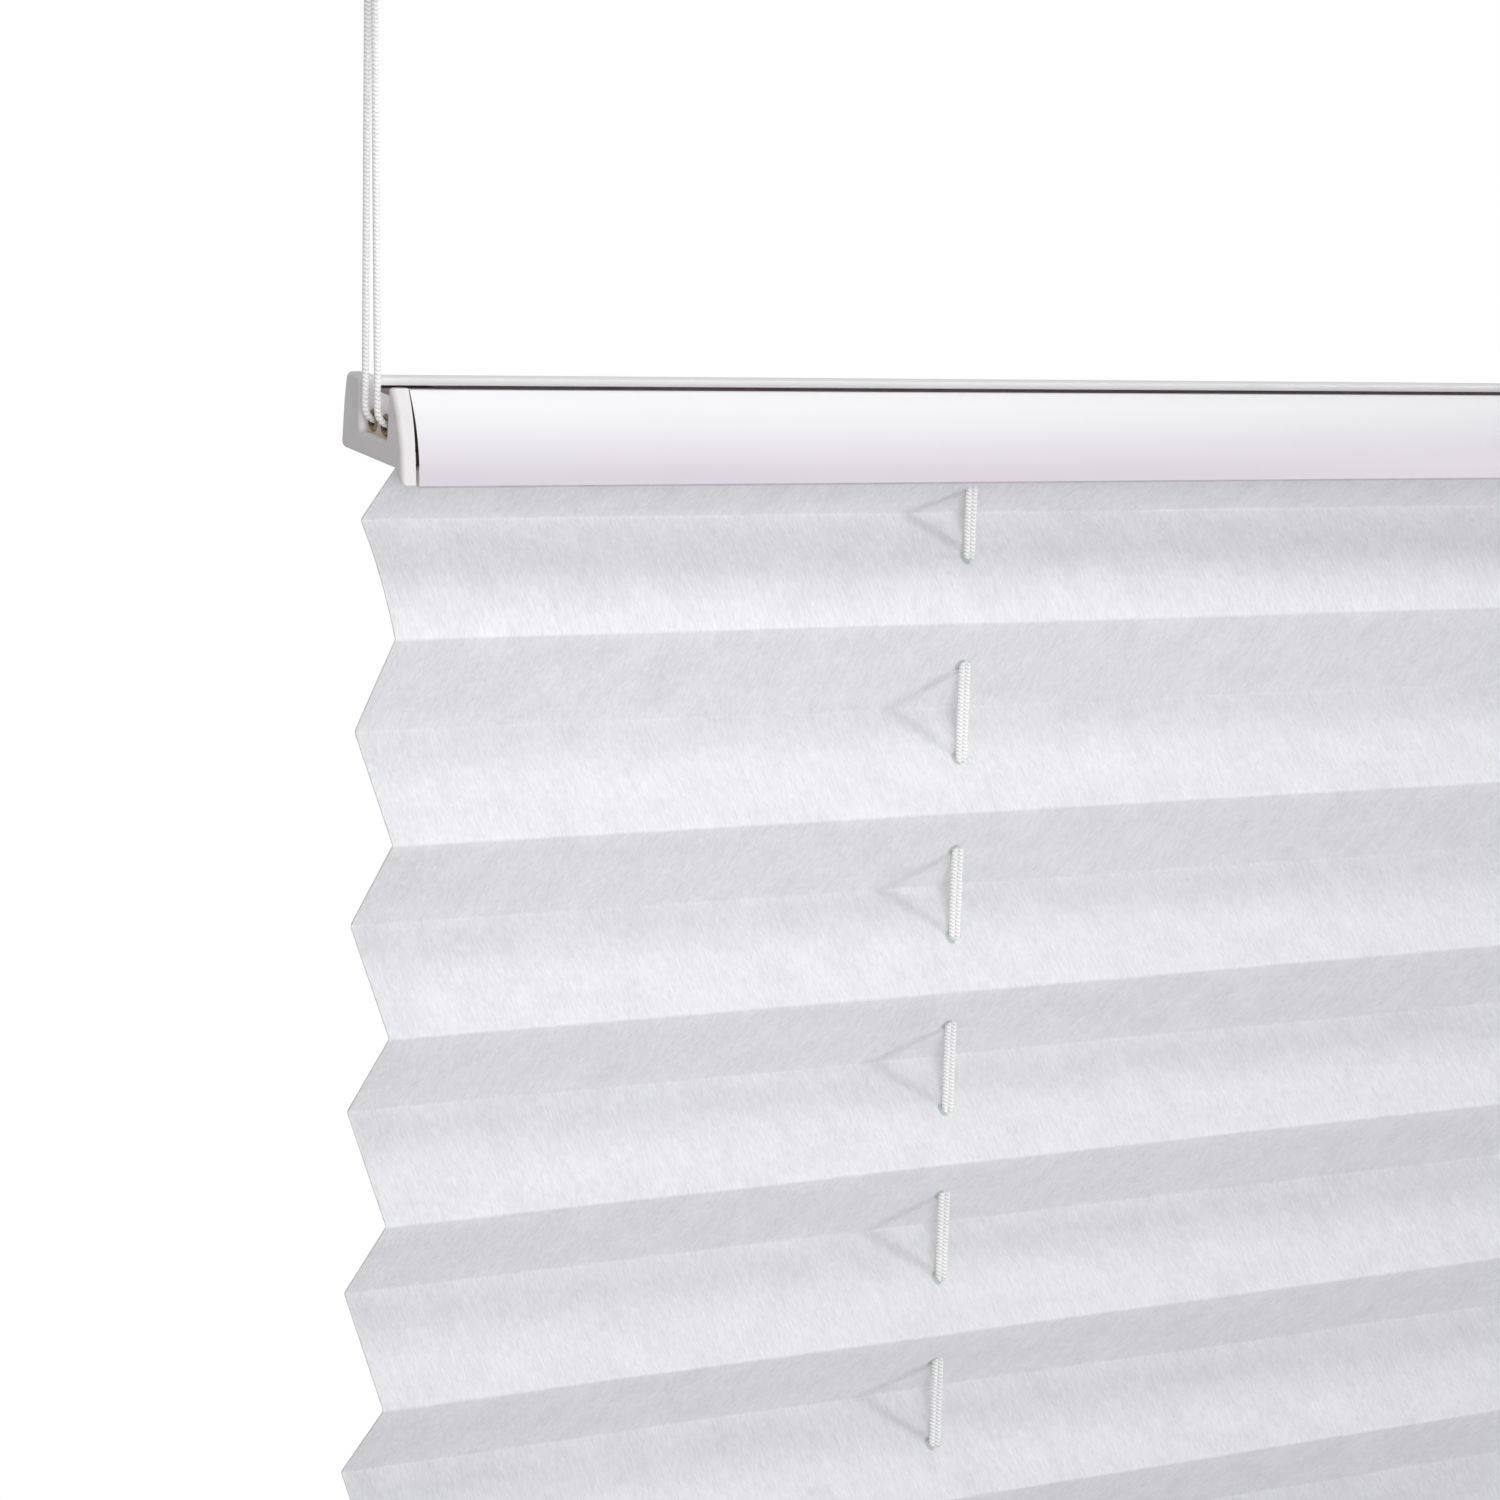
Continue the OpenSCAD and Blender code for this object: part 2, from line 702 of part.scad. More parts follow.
module cord(route) {
    line = smoothed(route);
    last = len(line) - 1;
    start = knotted(line[0], line[1]);
    stop = knotted(line[last], line[last - 1]);
    inner = [for (i = [1 : last - 1]) [line[i], cord_d / 2]];
    stations = concat(start, inner, [for (i = [len(stop) - 1 : -1 : 0]) stop[i]]);
    places = [for (s = stations) s[0]];
    rings = len(stations);
    points = [for (i = [0 : rings - 1]) each ring(places, i, stations[i][1])];
    sides = [
        for (i = [0 : rings - 2])
            for (k = [0 : cord_sides - 1])
                let (
                    a = i * cord_sides + k,
                    b = i * cord_sides + (k + 1) % cord_sides
                )
                each [[a, b, b + cord_sides], [a, b + cord_sides, a + cord_sides]]
    ];
    first_end = [for (k = [cord_sides - 1 : -1 : 0]) k];
    last_end = [for (k = [0 : cord_sides - 1]) (rings - 1) * cord_sides + k];
    polyhedron(points, concat([first_end], sides, [last_end]));
}

// The pieces, each with its colour
module top_rail() {
    color("white") in_top() rail();
}

module top_end_cap_left() {
    color("linen") in_top() at_left() end_cap();
}

module top_end_cap_right() {
    color("linen") in_top() at_right() end_cap();
}

module top_eyelets_left() {
    color("tan") in_top() at_left() eyelets();
}

module top_eyelets_right() {
    color("tan") in_top() at_right() eyelets();
}

module top_cord_guide_left() {
    color("gainsboro") in_top() translate([-punch_x, 0, 0]) cord_guide();
}

module top_cord_guide_right() {
    color("gainsboro") in_top() translate([punch_x, 0, 0]) cord_guide();
}

module top_fabric_strip() {
    color("whitesmoke") in_top() fabric_strip();
}

module fabric() {
    color("ghostwhite") pleated_fabric();
}

module bottom_rail() {
    color("white") in_bottom() rail();
}

module bottom_end_cap_left() {
    color("linen") in_bottom() at_left() end_cap();
}

module bottom_end_cap_right() {
    color("linen") in_bottom() at_right() end_cap();
}

module bottom_eyelets_left() {
    color("tan") in_bottom() at_left() eyelets();
}

module bottom_eyelets_right() {
    color("tan") in_bottom() at_right() eyelets();
}

module bottom_cord_guide_left() {
    color("gainsboro") in_bottom() translate([-punch_x, 0, 0]) cord_guide();
}

module bottom_cord_guide_right() {
    color("gainsboro") in_bottom() translate([punch_x, 0, 0]) cord_guide();
}

module bottom_fabric_strip() {
    color("whitesmoke") in_bottom() fabric_strip();
}

module shoe_top_left() {
    color("linen") at_left() shoe();
}

module shoe_top_right() {
    color("linen") at_right() shoe();
}

module shoe_bottom_left() {
    color("linen") at_floor() at_left() shoe();
}

module shoe_bottom_right() {
    color("linen") at_floor() at_right() shoe();
}

module cord_holder_top_left() {
    color("white") at_left() cord_holder();
}

module cord_holder_top_right() {
    color("white") at_right() cord_holder();
}

module cord_holder_bottom_left() {
    color("white") at_floor() at_left() cord_holder();
}

module cord_holder_bottom_right() {
    color("white") at_floor() at_right() cord_holder();
}

module tension_cord_1() {
    color("snow") cord(front_route(1, 0));
}

module tension_cord_2() {
    color("snow") cord(rear_route(1, 0));
}

module tension_cord_3() {
    color("snow") cord(front_route(-1, crossing_lift));
}

module tension_cord_4() {
    color("snow") cord(rear_route(-1, crossing_lift));
}

top_rail();
top_end_cap_left();
top_end_cap_right();
top_eyelets_left();
top_eyelets_right();
top_cord_guide_left();
top_cord_guide_right();
top_fabric_strip();
fabric();
bottom_rail();
bottom_end_cap_left();
bottom_end_cap_right();
bottom_eyelets_left();
bottom_eyelets_right();
bottom_cord_guide_left();
bottom_cord_guide_right();
bottom_fabric_strip();
shoe_top_left();
shoe_top_right();
shoe_bottom_left();
shoe_bottom_right();
cord_holder_top_left();
cord_holder_top_right();
cord_holder_bottom_left();
cord_holder_bottom_right();
tension_cord_1();
tension_cord_2();
tension_cord_3();
tension_cord_4();
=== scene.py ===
# %% [markdown]
# A tensioned pleated blind
#
# A folded white fabric hangs between two slim aluminium rails. The rails slide by hand on four taut cords
# that run from shoe to shoe. The CAD frame gives every piece its true size and place, so this lesson only
# dresses it: braided cords, a folded sheet with punched holes, rounded plastic and coated metal.

import math

import bmesh
import bpy
import numpy as np
from mathutils import Matrix, Vector


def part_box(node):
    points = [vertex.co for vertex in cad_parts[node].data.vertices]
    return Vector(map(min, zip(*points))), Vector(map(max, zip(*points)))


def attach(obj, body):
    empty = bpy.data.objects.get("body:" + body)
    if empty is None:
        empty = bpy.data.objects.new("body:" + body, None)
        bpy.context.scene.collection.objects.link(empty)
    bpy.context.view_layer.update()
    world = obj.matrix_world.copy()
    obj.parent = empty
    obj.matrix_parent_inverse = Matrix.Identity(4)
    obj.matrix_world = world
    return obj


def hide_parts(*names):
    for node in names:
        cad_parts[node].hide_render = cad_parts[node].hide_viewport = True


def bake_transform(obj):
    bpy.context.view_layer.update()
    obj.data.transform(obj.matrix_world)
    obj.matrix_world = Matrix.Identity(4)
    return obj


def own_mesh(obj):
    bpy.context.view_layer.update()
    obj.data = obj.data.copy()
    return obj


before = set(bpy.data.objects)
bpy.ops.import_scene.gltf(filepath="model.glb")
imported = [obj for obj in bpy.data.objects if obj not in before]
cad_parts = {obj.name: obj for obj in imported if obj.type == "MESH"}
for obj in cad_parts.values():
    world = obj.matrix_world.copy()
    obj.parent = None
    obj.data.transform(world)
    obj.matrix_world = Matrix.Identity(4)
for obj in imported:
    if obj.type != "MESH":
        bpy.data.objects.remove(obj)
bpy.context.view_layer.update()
MM = 0.001
FIXED = "fixings"
TOP = "top_rail_set"
BOTTOM = "bottom_rail_set"

# %% [markdown]
# The camera
#
# The picture looks down on the blind's left end from the room. Its angle was found by fitting the folds,
# the cords and the rail to the photograph, so the camera is built from that yaw, pitch and roll. A long
# lens close to the object keeps the folds' convergence right.

# %% Camera
CAMERA_PLACE = Vector((-0.42323, -0.49836, -0.04765))
YAW, PITCH, ROLL = 0.5198, 0.1383, 0.0314
LENS_MM, SENSOR_MM = 92, 36


def make_camera():
    """A camera that looks along the fitted direction."""
    ahead = Vector((
        math.sin(YAW) * math.cos(PITCH),
        math.cos(YAW) * math.cos(PITCH),
        -math.sin(PITCH),
    ))
    level_right = Vector((math.cos(YAW), -math.sin(YAW), 0))
    level_up = level_right.cross(ahead)
    right = level_right * math.cos(ROLL) + level_up * math.sin(ROLL)
    up = level_up * math.cos(ROLL) - level_right * math.sin(ROLL)
    bpy.ops.object.camera_add()
    camera = bpy.context.object
    camera.name = "camera"
    turn = Matrix((right, up, -ahead)).transposed().to_4x4()
    camera.matrix_world = Matrix.Translation(CAMERA_PLACE) @ turn
    camera.data.lens = LENS_MM
    camera.data.sensor_width = SENSOR_MM
    camera.data.clip_start = 0.01
    bpy.context.scene.camera = camera
    return camera


camera = make_camera()
print("camera at", [round(v, 3) for v in camera.location], "lens", camera.data.lens)

# %% [markdown]
# Small helpers
#
# Operators act on whatever is selected, so each step first deselects everything and then picks its own
# object. The helpers below do that, apply a modifier, and find edges and faces by place and direction.


# %% Helpers
def pick(obj):
    """Leaves obj as the only selected and active object."""
    if bpy.context.mode != "OBJECT":
        bpy.ops.object.mode_set(mode="OBJECT")
    bpy.ops.object.select_all(action="DESELECT")
    obj.select_set(True)
    bpy.context.view_layer.objects.active = obj
    return obj


def edit(obj, kind):
    """Opens obj in edit mode with nothing selected, choosing VERT, EDGE or FACE."""
    pick(obj)
    bpy.ops.object.mode_set(mode="EDIT")
    bpy.ops.mesh.select_mode(type=kind)
    bpy.ops.mesh.select_all(action="DESELECT")
    return bmesh.from_edit_mesh(obj.data)


def done(obj):
    """Leaves edit mode, with obj still the only one selected."""
    bpy.ops.object.mode_set(mode="OBJECT")
    return pick(obj)


def apply_modifier(obj, kind, **settings):
    """Adds one modifier with its settings, and applies it to the mesh."""
    pick(obj)
    modifier = obj.modifiers.new(kind.lower(), kind)
    for key, value in settings.items():
        setattr(modifier, key, value)
    bpy.ops.object.modifier_apply(modifier=modifier.name)
    return obj


def smooth(obj, degrees):
    """Shades obj smooth, apart from the edges that turn by more than so many degrees."""
    pick(obj)
    bpy.ops.object.shade_smooth_by_angle(angle=math.radians(degrees))
    return obj


def flat_normals(obj):
    """Lets the large flat faces keep their own direction, so that only the bevels bend the light."""
    return apply_modifier(obj, "WEIGHTED_NORMAL", keep_sharp=True, weight=100)


def triangles(obj):
    """How many triangles the faces of obj make."""
    return sum(len(p.vertices) - 2 for p in obj.data.polygons)


print("CAD triangles:", sum(triangles(node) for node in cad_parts.values()))

# %% [markdown]
# The cords
#
# Each cord leaves an upper cord holder, turns into the end cap's eyelet, runs along inside the top rail,
# drops through every panel, runs along inside the bottom rail and ends at the lower shoe on the other
# side. One cord could be one tube, but the rails slide along it. So it is cut where it enters and leaves a
# rail, and the hidden runs ride with their rail.

# %% Cord routes
CORD_D = 1.0 * MM
CORD_SIDES = 12
BEND_R = 2.0 * MM
GENTLE_TURN = math.radians(20)
HOLDER_X, TURN_X, NEAR_X = 201.7, 201.4, 190
FAR_X, CLOSE_X = 130, 70
PAIR_IN, PAIR_OUT = 99.5, 100.5
MIDDLE_Z = -0.300


def front_route(side, lift):
    """A cord through the front eyelets, in millimetres. Its lift keeps two crossing cords apart."""
    return [
        (-HOLDER_X * side, 0.8, -4.65),
        (-HOLDER_X * side, 0.8, -15.5),
        (-TURN_X * side, -2.37, -78.43),
        (-FAR_X * side, -4.96, -78.69),
        (-CLOSE_X * side, -4.96, -78.69 + lift / 2),
        (0, -2.97, -78.49 + lift),
        (PAIR_IN * side, 0, -78.2),
        (PAIR_IN * side, 0, -521.8),
        (PAIR_IN * side, -4.36, -521.37),
        (TURN_X * side, -2.37, -521.57),
        (HOLDER_X * side, 0.8, -584.5),
        (HOLDER_X * side, 0.8, -595.35),
    ]


def rear_route(side, lift):
    """A cord through the rear eyelets, in millimetres. Its lift keeps two crossing cords apart."""
    return [
        (-HOLDER_X * side, 3.1, -4.65),
        (-HOLDER_X * side, 3.1, -15.5),
        (-TURN_X * side, 2.01, -77.99),
        (-PAIR_OUT * side, 0, -78.2),
        (-PAIR_OUT * side, 0, -521.8),
        (-PAIR_OUT * side, 4.0, -522.22),
        (0, 5.19, -522.34 - lift),
        (CLOSE_X * side, 6.38, -522.46 - lift / 2),
        (FAR_X * side, 6.38, -522.46),
        (NEAR_X * side, 2.21, -522.03),
        (TURN_X * side, 2.01, -522.01),
        (HOLDER_X * side, 3.1, -584.5),
        (HOLDER_X * side, 3.1, -595.35),
    ]


ROUTES = {
    "tension_cord_1": front_route(1, 0),
    "tension_cord_2": rear_route(1, 0),
    "tension_cord_3": front_route(-1, 1.6),
    "tension_cord_4": rear_route(-1, 1.6),
}
print("routes:", {name: len(points) for name, points in ROUTES.items()})


# %% Tubes along a route
def rounded_route(points, radius=BEND_R, steps=6):
    """The route in metres, with each sharp corner replaced by an arc."""
    points = [Vector(p) * MM for p in points]
    line = [points[0]]
    for before, here, after in zip(points, points[1:], points[2:]):
        a = (before - here).normalized()
        b = (after - here).normalized()
        half = a.angle(b) / 2
        if math.pi - 2 * half < GENTLE_TURN:
            line.append(here)
            continue
        centre = here + (a + b).normalized() * radius / math.sin(half)
        start = here + a * radius / math.tan(half) - centre
        stop = here + b * radius / math.tan(half) - centre
        line += [centre + start.slerp(stop, i / steps) * radius for i in range(steps + 1)]
    return line + [points[-1]]


def refined(line, step):
    """The same line with a point at least every step."""
    fine = [line[0]]
    for a, b in zip(line, line[1:]):
        count = max(1, math.ceil((b - a).length / step))
        fine += [a.lerp(b, (i + 1) / count) for i in range(count)]
    return fine


def length_of(line):
    """Length of a line of points."""
    return sum((b - a).length for a, b in zip(line, line[1:]))


def tube(name, line, radii):
    """A closed tube along line, with a UV map: one turn round the tube, and diameters along it."""
    rings, along, travelled = [], [], 0.0
    side = Vector((0, 1, 0))
    for i, here in enumerate(line):
        ahead = (line[min(i + 1, len(line) - 1)] - line[max(i - 1, 0)]).normalized()
        side = (side - ahead * side.dot(ahead)).normalized()
        other = ahead.cross(side)
        travelled += (here - line[i - 1]).length if i else 0.0
        along.append(travelled)
        angles = [2 * math.pi * k / CORD_SIDES for k in range(CORD_SIDES)]
        rings += [here + (side * math.cos(a) + other * math.sin(a)) * radii[i] for a in angles]
    faces, spots = [], []
    for i in range(len(line) - 1):
        for k in range(CORD_SIDES):
            low, high = i * CORD_SIDES, (i + 1) * CORD_SIDES
            step = (k + 1) % CORD_SIDES
            faces.append((low + k, low + step, high + step, high + k))
            spots += [(k, along[i]), (k + 1, along[i]), (k + 1, along[i + 1]), (k, along[i + 1])]
    last = (len(line) - 1) * CORD_SIDES
    faces.append(tuple(reversed(range(CORD_SIDES))))
    faces.append(tuple(last + k for k in range(CORD_SIDES)))
    spots += [(0, 0)] * (2 * CORD_SIDES)
    mesh = bpy.data.meshes.new(name)
    mesh.from_pydata(rings, [], faces)
    braid = mesh.uv_layers.new(name="braid")
    for loop, (k, v) in zip(braid.data, spots):
        loop.uv = (k / CORD_SIDES, v / CORD_D)
    obj = bpy.data.objects.new(name, mesh)
    bpy.context.scene.collection.objects.link(obj)
    return smooth(obj, 60)


print("longest route:", round(max(length_of(rounded_route(r)) for r in ROUTES.values()), 4), "m")

# %% Cut each cord into its stretches
KNOT_D = 2.2 * MM
KNOT_LEN = 2.2 * MM
RING_STEP = 1.5 * MM
TOP_GUIDE_Z, BOTTOM_GUIDE_Z = -0.0805, -0.5195


def stretch_of(point):
    """Which stretch of its cord a point belongs to, from its height and its place along the rail."""
    upper = point.z > MIDDLE_Z
    if abs(point.x) > TURN_X * MM - BEND_R:
        return "upper_strand" if upper else "lower_strand"
    if point.z > TOP_GUIDE_Z:
        return "top_run"
    if point.z < BOTTOM_GUIDE_Z:
        return "bottom_run"
    return "upper_drop" if upper else "lower_drop"


def knot_radius(distance):
    """Radius of the cord at a distance from its end, with the knot swelling there."""
    share = min(max(distance / KNOT_LEN, 0.0), 1.0)
    return CORD_D / 2 + (KNOT_D - CORD_D) / 2 * math.sin(math.pi * share) ** 0.5


def split_cord(node):
    """Cuts one cord where it enters and leaves a rail, and makes a tube of each stretch."""
    line = refined(rounded_route(ROUTES[node]), RING_STEP)
    ends = (line[0], line[-1])
    radii = [knot_radius(min((p - ends[0]).length, (p - ends[1]).length)) for p in line]
    parts, order = {}, []
    for p, r in zip(line, radii):
        kind = stretch_of(p)
        if kind not in parts:
            parts[kind] = ([], [])
            if order:
                before = parts[order[-1]]
                parts[kind][0].append(before[0][-1])
                parts[kind][1].append(before[1][-1])
            order.append(kind)
        parts[kind][0].append(p)
        parts[kind][1].append(r)
    return {kind: tube(f"{node}_{kind}", *parts[kind]) for kind in order}


CORDS = {node: split_cord(node) for node in ROUTES}
for node, parts in CORDS.items():
    print(node, {kind: triangles(part) for kind, part in parts.items()})

# %% [markdown]
# Which cord pieces ride with the rails
#
# On the real blind a cord stands still while a rail slides along it. Here the free stretches are baked where
# they were built, and the runs inside a rail ride with that rail.

# %% Bake the free stretches and let the runs ride with the rails
UPPER_EXIT_Z, LOWER_EXIT_Z = -0.0155, -0.5845
TOP_EYELET_Z, BOTTOM_EYELET_Z = -0.0755, -0.5245
SPANS = {
    "upper_strand": (TOP, UPPER_EXIT_Z, TOP_EYELET_Z),
    "upper_drop": (TOP, MIDDLE_Z, TOP_GUIDE_Z),
    "lower_drop": (BOTTOM, MIDDLE_Z, BOTTOM_GUIDE_Z),
    "lower_strand": (BOTTOM, LOWER_EXIT_Z, BOTTOM_EYELET_Z),
}
for node, parts in CORDS.items():
    for kind, part in parts.items():
        if kind in SPANS:
            body, fixed_z, moving_z = SPANS[kind]
            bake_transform(part)
        else:
            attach(part, TOP if kind == "top_run" else BOTTOM)
        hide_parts(node)
print("cord stretches:", sum(len(parts) for parts in CORDS.values()))

# %% [markdown]
# The folded fabric
#
# The fabric is one sheet with a sharp fold every 20 mm. It hangs from the top rail, so its uppermost
# panels are pulled open a little further than the rest, and the first whole panel bows out. A whole row of
# edges could be extruded down the folds, but one point is quicker: it is extruded down the folds, and a
# screw modifier without any turn sweeps that line along the rail. The sheet is cut at one rear fold into an
# upper and a lower half.

# %% Fold positions
FABRIC_W, SHEET_T = 400 * MM, 0.3 * MM
PANEL_LEN, FOLD_R = 20.0, 0.35 * MM
RAIL_DROP, RAIL_LIFT, OPENING_H = 80.0, 80.0, 600.0
FIRST_HANG, PANELS = 12.5, 30
TOP_STRETCH, STRETCH_FADE, FIRST_BOW = 2.2, 0.6, 0.8
RAIL_TIP = math.radians(5.8)
LOWER_WEB = RAIL_LIFT - OPENING_H
FIRST_FOLD = -RAIL_DROP - FIRST_HANG
STRETCH_SUM = TOP_STRETCH * (1 - STRETCH_FADE**PANELS) / (1 - STRETCH_FADE)
PANEL_RISE = (FIRST_FOLD - LOWER_WEB - FIRST_HANG - STRETCH_SUM) / PANELS


def rise(panel):
    """How far one panel reaches down, in millimetres."""
    return PANEL_RISE + TOP_STRETCH * STRETCH_FADE**panel


def fold(index):
    """Depth and height of one fold in millimetres; even ones lie at the rear."""
    height = FIRST_FOLD - sum(rise(i) for i in range(index))
    reach = math.sqrt(PANEL_LEN**2 - rise(min(index, PANELS - 1)) ** 2) / 2
    return np.array((reach if index % 2 == 0 else -reach, height))


def in_rail(y, z, lower=False):
    """A point of the rail's own section, tipped with the rail, in millimetres."""
    depth = y * math.cos(RAIL_TIP) - z * math.sin(RAIL_TIP)
    height = y * math.sin(RAIL_TIP) + z * math.cos(RAIL_TIP)
    return np.array((depth, LOWER_WEB - height if lower else height - RAIL_DROP))


HEM = [(3.0, -1.1), (-8.9, -1.1), (-8.9, -2.3), (-7.6, -2.3)]
SPLIT = 14
print("folds at", [round(fold(i)[1], 1) for i in range(0, PANELS + 1, 6)], "mm")

# %% Profiles of the fabric
BOW_STEPS = 8


def bowed_panel():
    """The first whole panel, bowed towards the room between its two folds."""
    a, b = fold(0), fold(1)
    across = np.array((b[1] - a[1], a[0] - b[0]))
    across = across / np.linalg.norm(across)
    spots = [i / BOW_STEPS for i in range(BOW_STEPS)]
    return [a * (1 - t) + b * t + across * FIRST_BOW * 4 * t * (1 - t) for t in spots]


upper_points = [in_rail(*p) for p in HEM] + bowed_panel() + [fold(i) for i in range(1, SPLIT + 1)]
lower_points = [fold(i) for i in range(SPLIT, PANELS + 1)] + [in_rail(*HEM[-1], lower=True)]
hem_points = [in_rail(*p, lower=True) for p in reversed(HEM)]


def profile(points, step=4 * MM):
    """The sheet's line in metres, with small rounded folds and a point at least every step."""
    corners = [(0, y, z) for y, z in points]
    return refined(rounded_route(corners, radius=FOLD_R, steps=3), step)


print("flat lengths:", [round(length_of(profile(p)), 4) for p in (upper_points, lower_points)], "m")

# %% Sweep the sheets
COLUMNS = 80
START_SIZE = 2 * MM


def folded_sheet(name, line):
    """One point extruded down the profile, and the finished line swept along the rail."""
    bpy.ops.object.select_all(action="DESELECT")
    bpy.ops.mesh.primitive_plane_add(size=START_SIZE)
    obj = bpy.context.object
    obj.name = name
    edit(obj, "VERT")
    bpy.ops.mesh.select_all(action="SELECT")
    bpy.ops.mesh.merge(type="CENTER")
    bpy.ops.transform.translate(value=line[0] - Vector((FABRIC_W / 2, 0, 0)))
    for a, b in zip(line, line[1:]):
        bpy.ops.mesh.extrude_region_move(TRANSFORM_OT_translate={"value": b - a})
    done(obj)
    return apply_modifier(
        obj, "SCREW", axis="X", angle=0, screw_offset=FABRIC_W, steps=COLUMNS, render_steps=COLUMNS
    )


print("columns:", COLUMNS, "of", round(FABRIC_W / COLUMNS / MM, 2), "mm")

# %% Wrinkles and cord holes
WAVE_SIZE, WAVE_HEIGHT = 35 * MM, 0.5 * MM
FREE_LOW, FREE_HIGH = (LOWER_WEB + 6) * MM, (FIRST_FOLD + 2) * MM
PUNCH_X, PUNCH_D, PUNCH_NARROW = 100 * MM, 2.2 * MM, 0.65
PUNCH_SIDES = 24


def wrinkled(obj):
    """Gives the free panels the faint unevenness of a hung fabric, and leaves the clamped edge alone."""
    group = obj.vertex_groups.new(name="free")
    free = [v.index for v in obj.data.vertices if FREE_LOW < v.co.z < FREE_HIGH]
    group.add(free, 1.0, "REPLACE")
    clouds = bpy.data.textures.new("sheet_waves", "CLOUDS")
    clouds.noise_scale = WAVE_SIZE
    clouds.noise_depth = 1
    return apply_modifier(
        obj, "DISPLACE", texture=clouds, texture_coords="LOCAL", vertex_group="free",
        strength=WAVE_HEIGHT, mid_level=0.5,
    )


def punched(obj):
    """Cuts the two rows of cord holes with upright drills."""
    for x in (-PUNCH_X, PUNCH_X):
        bpy.ops.object.select_all(action="DESELECT")
        bpy.ops.mesh.primitive_cylinder_add(
            vertices=PUNCH_SIDES, radius=PUNCH_D / 2, depth=OPENING_H * MM, location=(x, 0, MIDDLE_Z)
        )
        drill = bpy.context.object
        bpy.ops.transform.resize(value=(1, PUNCH_NARROW, 1))
        apply_modifier(obj, "BOOLEAN", operation="DIFFERENCE", solver="EXACT", object=drill)
        bpy.data.objects.remove(drill)
    return obj


print("cord holes at", [-PUNCH_X, PUNCH_X], "m")


# %% Map of the fibres
def cord_level(panel):
    """Height at which the cords pass through a panel, in millimetres."""
    corners = bowed_panel() + [fold(1)] if panel == 0 else [fold(panel), fold(panel + 1)]
    depths, heights = zip(*sorted((y, z) for y, z in corners))
    return np.interp(0, depths, heights)


def fibre_map(obj):
    """A UV map in metres: along the rail, and down the flat sheet, with the cord holes at mid-panel."""
    levels = [FIRST_FOLD + PANEL_RISE]
    for panel in range(PANELS):
        levels += [fold(panel)[1], cord_level(panel)]
    levels += [fold(PANELS)[1], fold(PANELS)[1] - PANEL_RISE]
    levels = np.array(levels) * MM
    lengths = [-PANEL_LEN * MM] + [i * PANEL_LEN / 2 * MM for i in range(2 * PANELS + 1)]
    lengths.append(lengths[-1] + PANEL_LEN * MM)
    layer = obj.data.uv_layers.new(name="fibres")
    co = np.array([v.co for v in obj.data.vertices])
    down = np.interp(-co[:, 2], -levels, lengths)
    for loop, spot in zip(obj.data.loops, layer.data):
        spot.uv = (co[loop.vertex_index, 0], down[loop.vertex_index])
    return obj


print("cords pass the first panels at", [round(float(cord_level(i)), 1) for i in range(3)], "mm")


# %% Make the fabric
def fabric_piece(name, points):
    """One piece of the fabric with its thickness, holes and map, and the length of its flat sheet."""
    line = profile(points)
    obj = folded_sheet(name, line)
    wrinkled(obj)
    apply_modifier(obj, "SOLIDIFY", thickness=SHEET_T, offset=0)
    punched(obj)
    smooth(obj, 50)
    return fibre_map(obj), length_of(line)


fabric_upper, upper_len = fabric_piece("fabric_upper", upper_points)
fabric_lower, lower_len = fabric_piece("fabric_lower", lower_points)
fabric_hem, hem_len = fabric_piece("fabric_hem", hem_points)
print("fabric triangles:", [triangles(o) for o in (fabric_upper, fabric_lower, fabric_hem)])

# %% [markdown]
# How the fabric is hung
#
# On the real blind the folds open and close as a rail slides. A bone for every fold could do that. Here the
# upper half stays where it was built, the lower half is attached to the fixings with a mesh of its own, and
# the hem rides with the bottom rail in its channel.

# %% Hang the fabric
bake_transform(fabric_upper)
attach(fabric_lower, FIXED)
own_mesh(fabric_lower)
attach(fabric_hem, BOTTOM)
for piece in (fabric_upper, fabric_lower, fabric_hem):
    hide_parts("fabric")
print("fabric hung; lengths", round(upper_len, 4), round(lower_len, 4), round(hem_len, 4))

# %% [markdown]
# Copies of the rigid pieces
#
# Rails, caps and fixings come from the CAD as exact but razor-sharp solids. A real extrusion and a moulded
# cap have softened edges that catch the light. They could be modelled again, but that would only lose the
# exact fit. So each one is copied, its triangles are merged back into whole faces, and its sharp edges are
# picked by place and bevelled.

# %% Copies of CAD pieces
SHARP = math.radians(25)
MERGE_NEAR, MERGE_FLAT = 0.002 * MM, math.radians(0.5)
ON_PLANE = 0.02 * MM
ALONG_RAIL = 0.9


def cad_copy(node):
    """A copy of a CAD node with its triangles merged back into whole faces."""
    obj = bpy.data.objects.new(node + "_finished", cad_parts[node].data.copy())
    bpy.context.scene.collection.objects.link(obj)
    obj.data.materials.clear()
    edit(obj, "VERT")
    bpy.ops.mesh.select_all(action="SELECT")
    bpy.ops.mesh.remove_doubles(threshold=MERGE_NEAR)
    bpy.ops.mesh.dissolve_limited(angle_limit=MERGE_FLAT)
    bpy.ops.mesh.normals_make_consistent(inside=False)
    done(obj)
    bpy.ops.mesh.customdata_custom_splitnormals_clear()
    return obj


